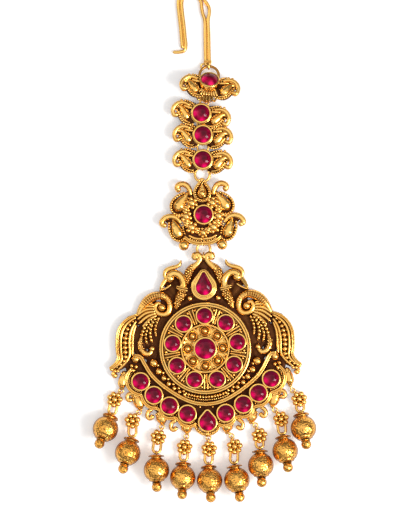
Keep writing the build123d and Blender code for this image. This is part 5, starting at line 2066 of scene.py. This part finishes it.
@dataclass
class HairHook:
    """The doubled wire hook with its lower curl and eye.

    Attributes:
        outer: The outer strand's line.
        inner: The inner strand's line, with its end bent aside.
        wire: Radius of a strand.
        height: Height of the strands' middle.
    """

    outer: tuple[Spot, ...] = (
        (2.2, 62.2), (2.22, 65.5), (2.2, 69.0), (2.2, 72.4), (2.45, 73.6), (2.35, 74.9), (1.75, 76.0), (0.9, 77.2),
        (0.0, 78.2), (-1.2, 78.8), (-2.8, 78.8), (-3.8, 77.8), (-4.28, 76.4), (-4.26, 74.0), (-4.08, 72.2),
        (-3.91, 70.4), (-3.77, 68.3), (-3.64, 66.3),
    )
    inner: tuple[Spot, ...] = (
        (1.42, 62.2), (1.4, 65.5), (1.42, 69.0), (1.38, 72.2), (0.98, 73.6), (0.8, 74.8), (0.62, 76.2), (0.1, 77.0),
        (-0.65, 77.75), (-1.5, 78.05), (-2.4, 77.95), (-3.1, 77.3), (-3.5, 76.4), (-3.48, 74.0), (-3.3, 72.2),
        (-3.13, 70.4), (-2.99, 68.3), (-2.87, 66.5), (-3.2, 65.5), (-4.0, 65.2), (-5.4, 65.15),
    )
    wire: float = 0.385
    height: float = 0.42

    def build(self) -> None:
        """Draw both strands, the curl at the foot and the standing eye."""
        strands = []
        for first, last in ((0, 4), (7, 18)):
            middle = [
                ((x1 + x2) / 2, (y1 + y2) / 2, 0.2)
                for (x1, y1), (x2, y2) in zip(self.outer[first:last], self.inner[first:last])
            ]
            strands.append(Scroll(middle, 0.12, self.height, low=0.04).make())
        for path in (self.outer, self.inner):
            rows = [(x, y, self.wire) for x, y in path]
            strands.append(Scroll(rows, self.wire, self.height, low=0.04).make())
        curl = [(1.3, 62.5, 0.2), (0.95, 62.45, 0.22), (0.5, 62.25, 0.22), (0.38, 61.85, 0.22), (0.6, 61.5, 0.22),
                (1.05, 61.5, 0.22), (1.25, 61.9, 0.2)]
        strands.append(Scroll(curl, 0.22, self.height, low=0.04).make())
        strands.append(RING.cast([standing(2.05, 61.83, 0.95, 0.65) @ Matrix.Diagonal((1, 1, 1.9, 1))]))
        wraps = [
            Scroll([(1.1, y, 0.14), (1.86, y + 0.1, 0.16), (2.62, y, 0.14)], 0.16, 0.85, low=0.3).make()
            for y in (62.7, 63.0)
        ]
        piece = join(strands + wraps, "hair_hook_wire")
        face_outwards(piece)
        finish_piece(piece, WIRE, ("hair_hook",))


@dataclass
class Studio:
    """A pale floor, soft lights and the camera above.

    Attributes:
        centre: What the camera looks at, in millimetres.
        height: The camera's height, in millimetres.
        tall: How much the picture's height takes in, in millimetres.
        roll: The camera's turn about its own axis, in degrees.
    """

    centre: Spot = (1.02, 19.34)
    height: float = 420.0
    tall: float = 114.4
    roll: float = -1.2

    def floor(self) -> None:
        """Lay the pale floor that the piece lies on."""
        put_down()
        bpy.ops.mesh.primitive_grid_add(x_subdivisions=4, y_subdivisions=4, size=4.0, location=(0, 0, FLOOR * MM))
        floor = bpy.context.object
        floor.name = "floor"
        bpy.ops.object.transform_apply(location=True, rotation=True, scale=True)
        paper, tree, shader = new_material("white_paper")
        noise = add_node(tree, "TexNoise", {"Vector": place_on_object(tree), "Scale": 60.0})
        tone = blend(tree, (0.93, 0.925, 0.92), (0.91, 0.905, 0.90), noise.outputs["Fac"])
        feed(tree, shader, {
            "Base Color": tone, "Emission Color": tone, "Emission Strength": 0.22, "Roughness": 0.9,
            "Specular IOR Level": 0.1,
        })
        floor.data.materials.append(paper)

    def lamp(
        self, name: str, aim: Spot, far: float, size: Spot, power: float, colour: Colour = (1.0, 1.0, 1.0)
    ) -> None:
        """Hang a rectangular soft light that faces the piece.

        Args:
            name: Name of the lamp.
            aim: Its bearing and its angle from straight above, in degrees.
            far: Its distance, in metres.
            size: Its width and height, in metres.
            power: Its power, in watts.
            colour: Its colour.
        """
        bearing, from_top = (math.radians(angle) for angle in aim)
        side = math.sin(from_top)
        away = Vector((side * math.cos(bearing), side * math.sin(bearing), math.cos(from_top)))
        light = bpy.data.lights.new(name, "AREA")
        light.shape = "RECTANGLE"
        light.size, light.size_y = size
        light.energy = power
        light.color = colour
        lamp = bpy.data.objects.new(name, light)
        lamp.location = Vector((self.centre[0] * MM, self.centre[1] * MM, 0)) + away * far
        lamp.rotation_euler = away.to_track_quat("Z", "Y").to_euler()
        bpy.context.scene.collection.objects.link(lamp)

    def build(self) -> None:
        """Set up floor, lights, sky and camera."""
        self.floor()
        self.lamp("window", (-24.0, 46.0), 0.62, (0.2, 0.32), 3.3, (1.0, 0.99, 0.98))
        self.lamp("ceiling", (90.0, 0.0), 1.0, (2.0, 2.0), 10.5)
        self.lamp("side", (160.0, 62.0), 0.9, (0.25, 0.7), 0.7)
        scene = bpy.context.scene
        world = bpy.data.worlds.new("room")
        world.use_nodes = True
        sky = world.node_tree.nodes["Background"]
        feed(world.node_tree, sky, {"Color": (0.97, 0.97, 1.0, 1), "Strength": 0.24})
        scene.world = world
        scene.view_settings.view_transform = "Standard"
        camera = bpy.data.cameras.new("camera")
        camera.lens = camera.sensor_width * self.height / self.tall
        camera.clip_end = 10.0
        view = bpy.data.objects.new("camera", camera)
        view.location = (self.centre[0] * MM, self.centre[1] * MM, self.height * MM)
        view.rotation_euler = (0, 0, math.radians(self.roll))
        scene.collection.objects.link(view)
        scene.camera = view


def main() -> None:
    """Build every part in order, then the studio."""
    logging.basicConfig(level=logging.INFO, format="%(message)s")
    put_down()
    Pendant().build()
    RosetteLink().build()
    for number, x, y, turned in ((4, 0.33, 41.35, -3.8), (3, 0.46, 46.8, -4.4), (2, 0.2, 51.5, -12.0)):
        Link("link_" + str(number), x, y, turned).build()
    TopLink().build()
    Fringe().build()
    for node in ("pendant_ring", "rosette_ring"):
        JumpRing(node, 0.3).build()
    for node in ("link_ring_1", "link_ring_2", "link_ring_3"):
        JumpRing(node, 0.24).build()
    # The hook's ring takes the darker gold: painted shade.
    JumpRing("hook_ring", 0.3, 15.0, SHADED).build()
    HairHook().build()
    Studio().build()


if __name__ == "__main__":
    main()
    put_down()
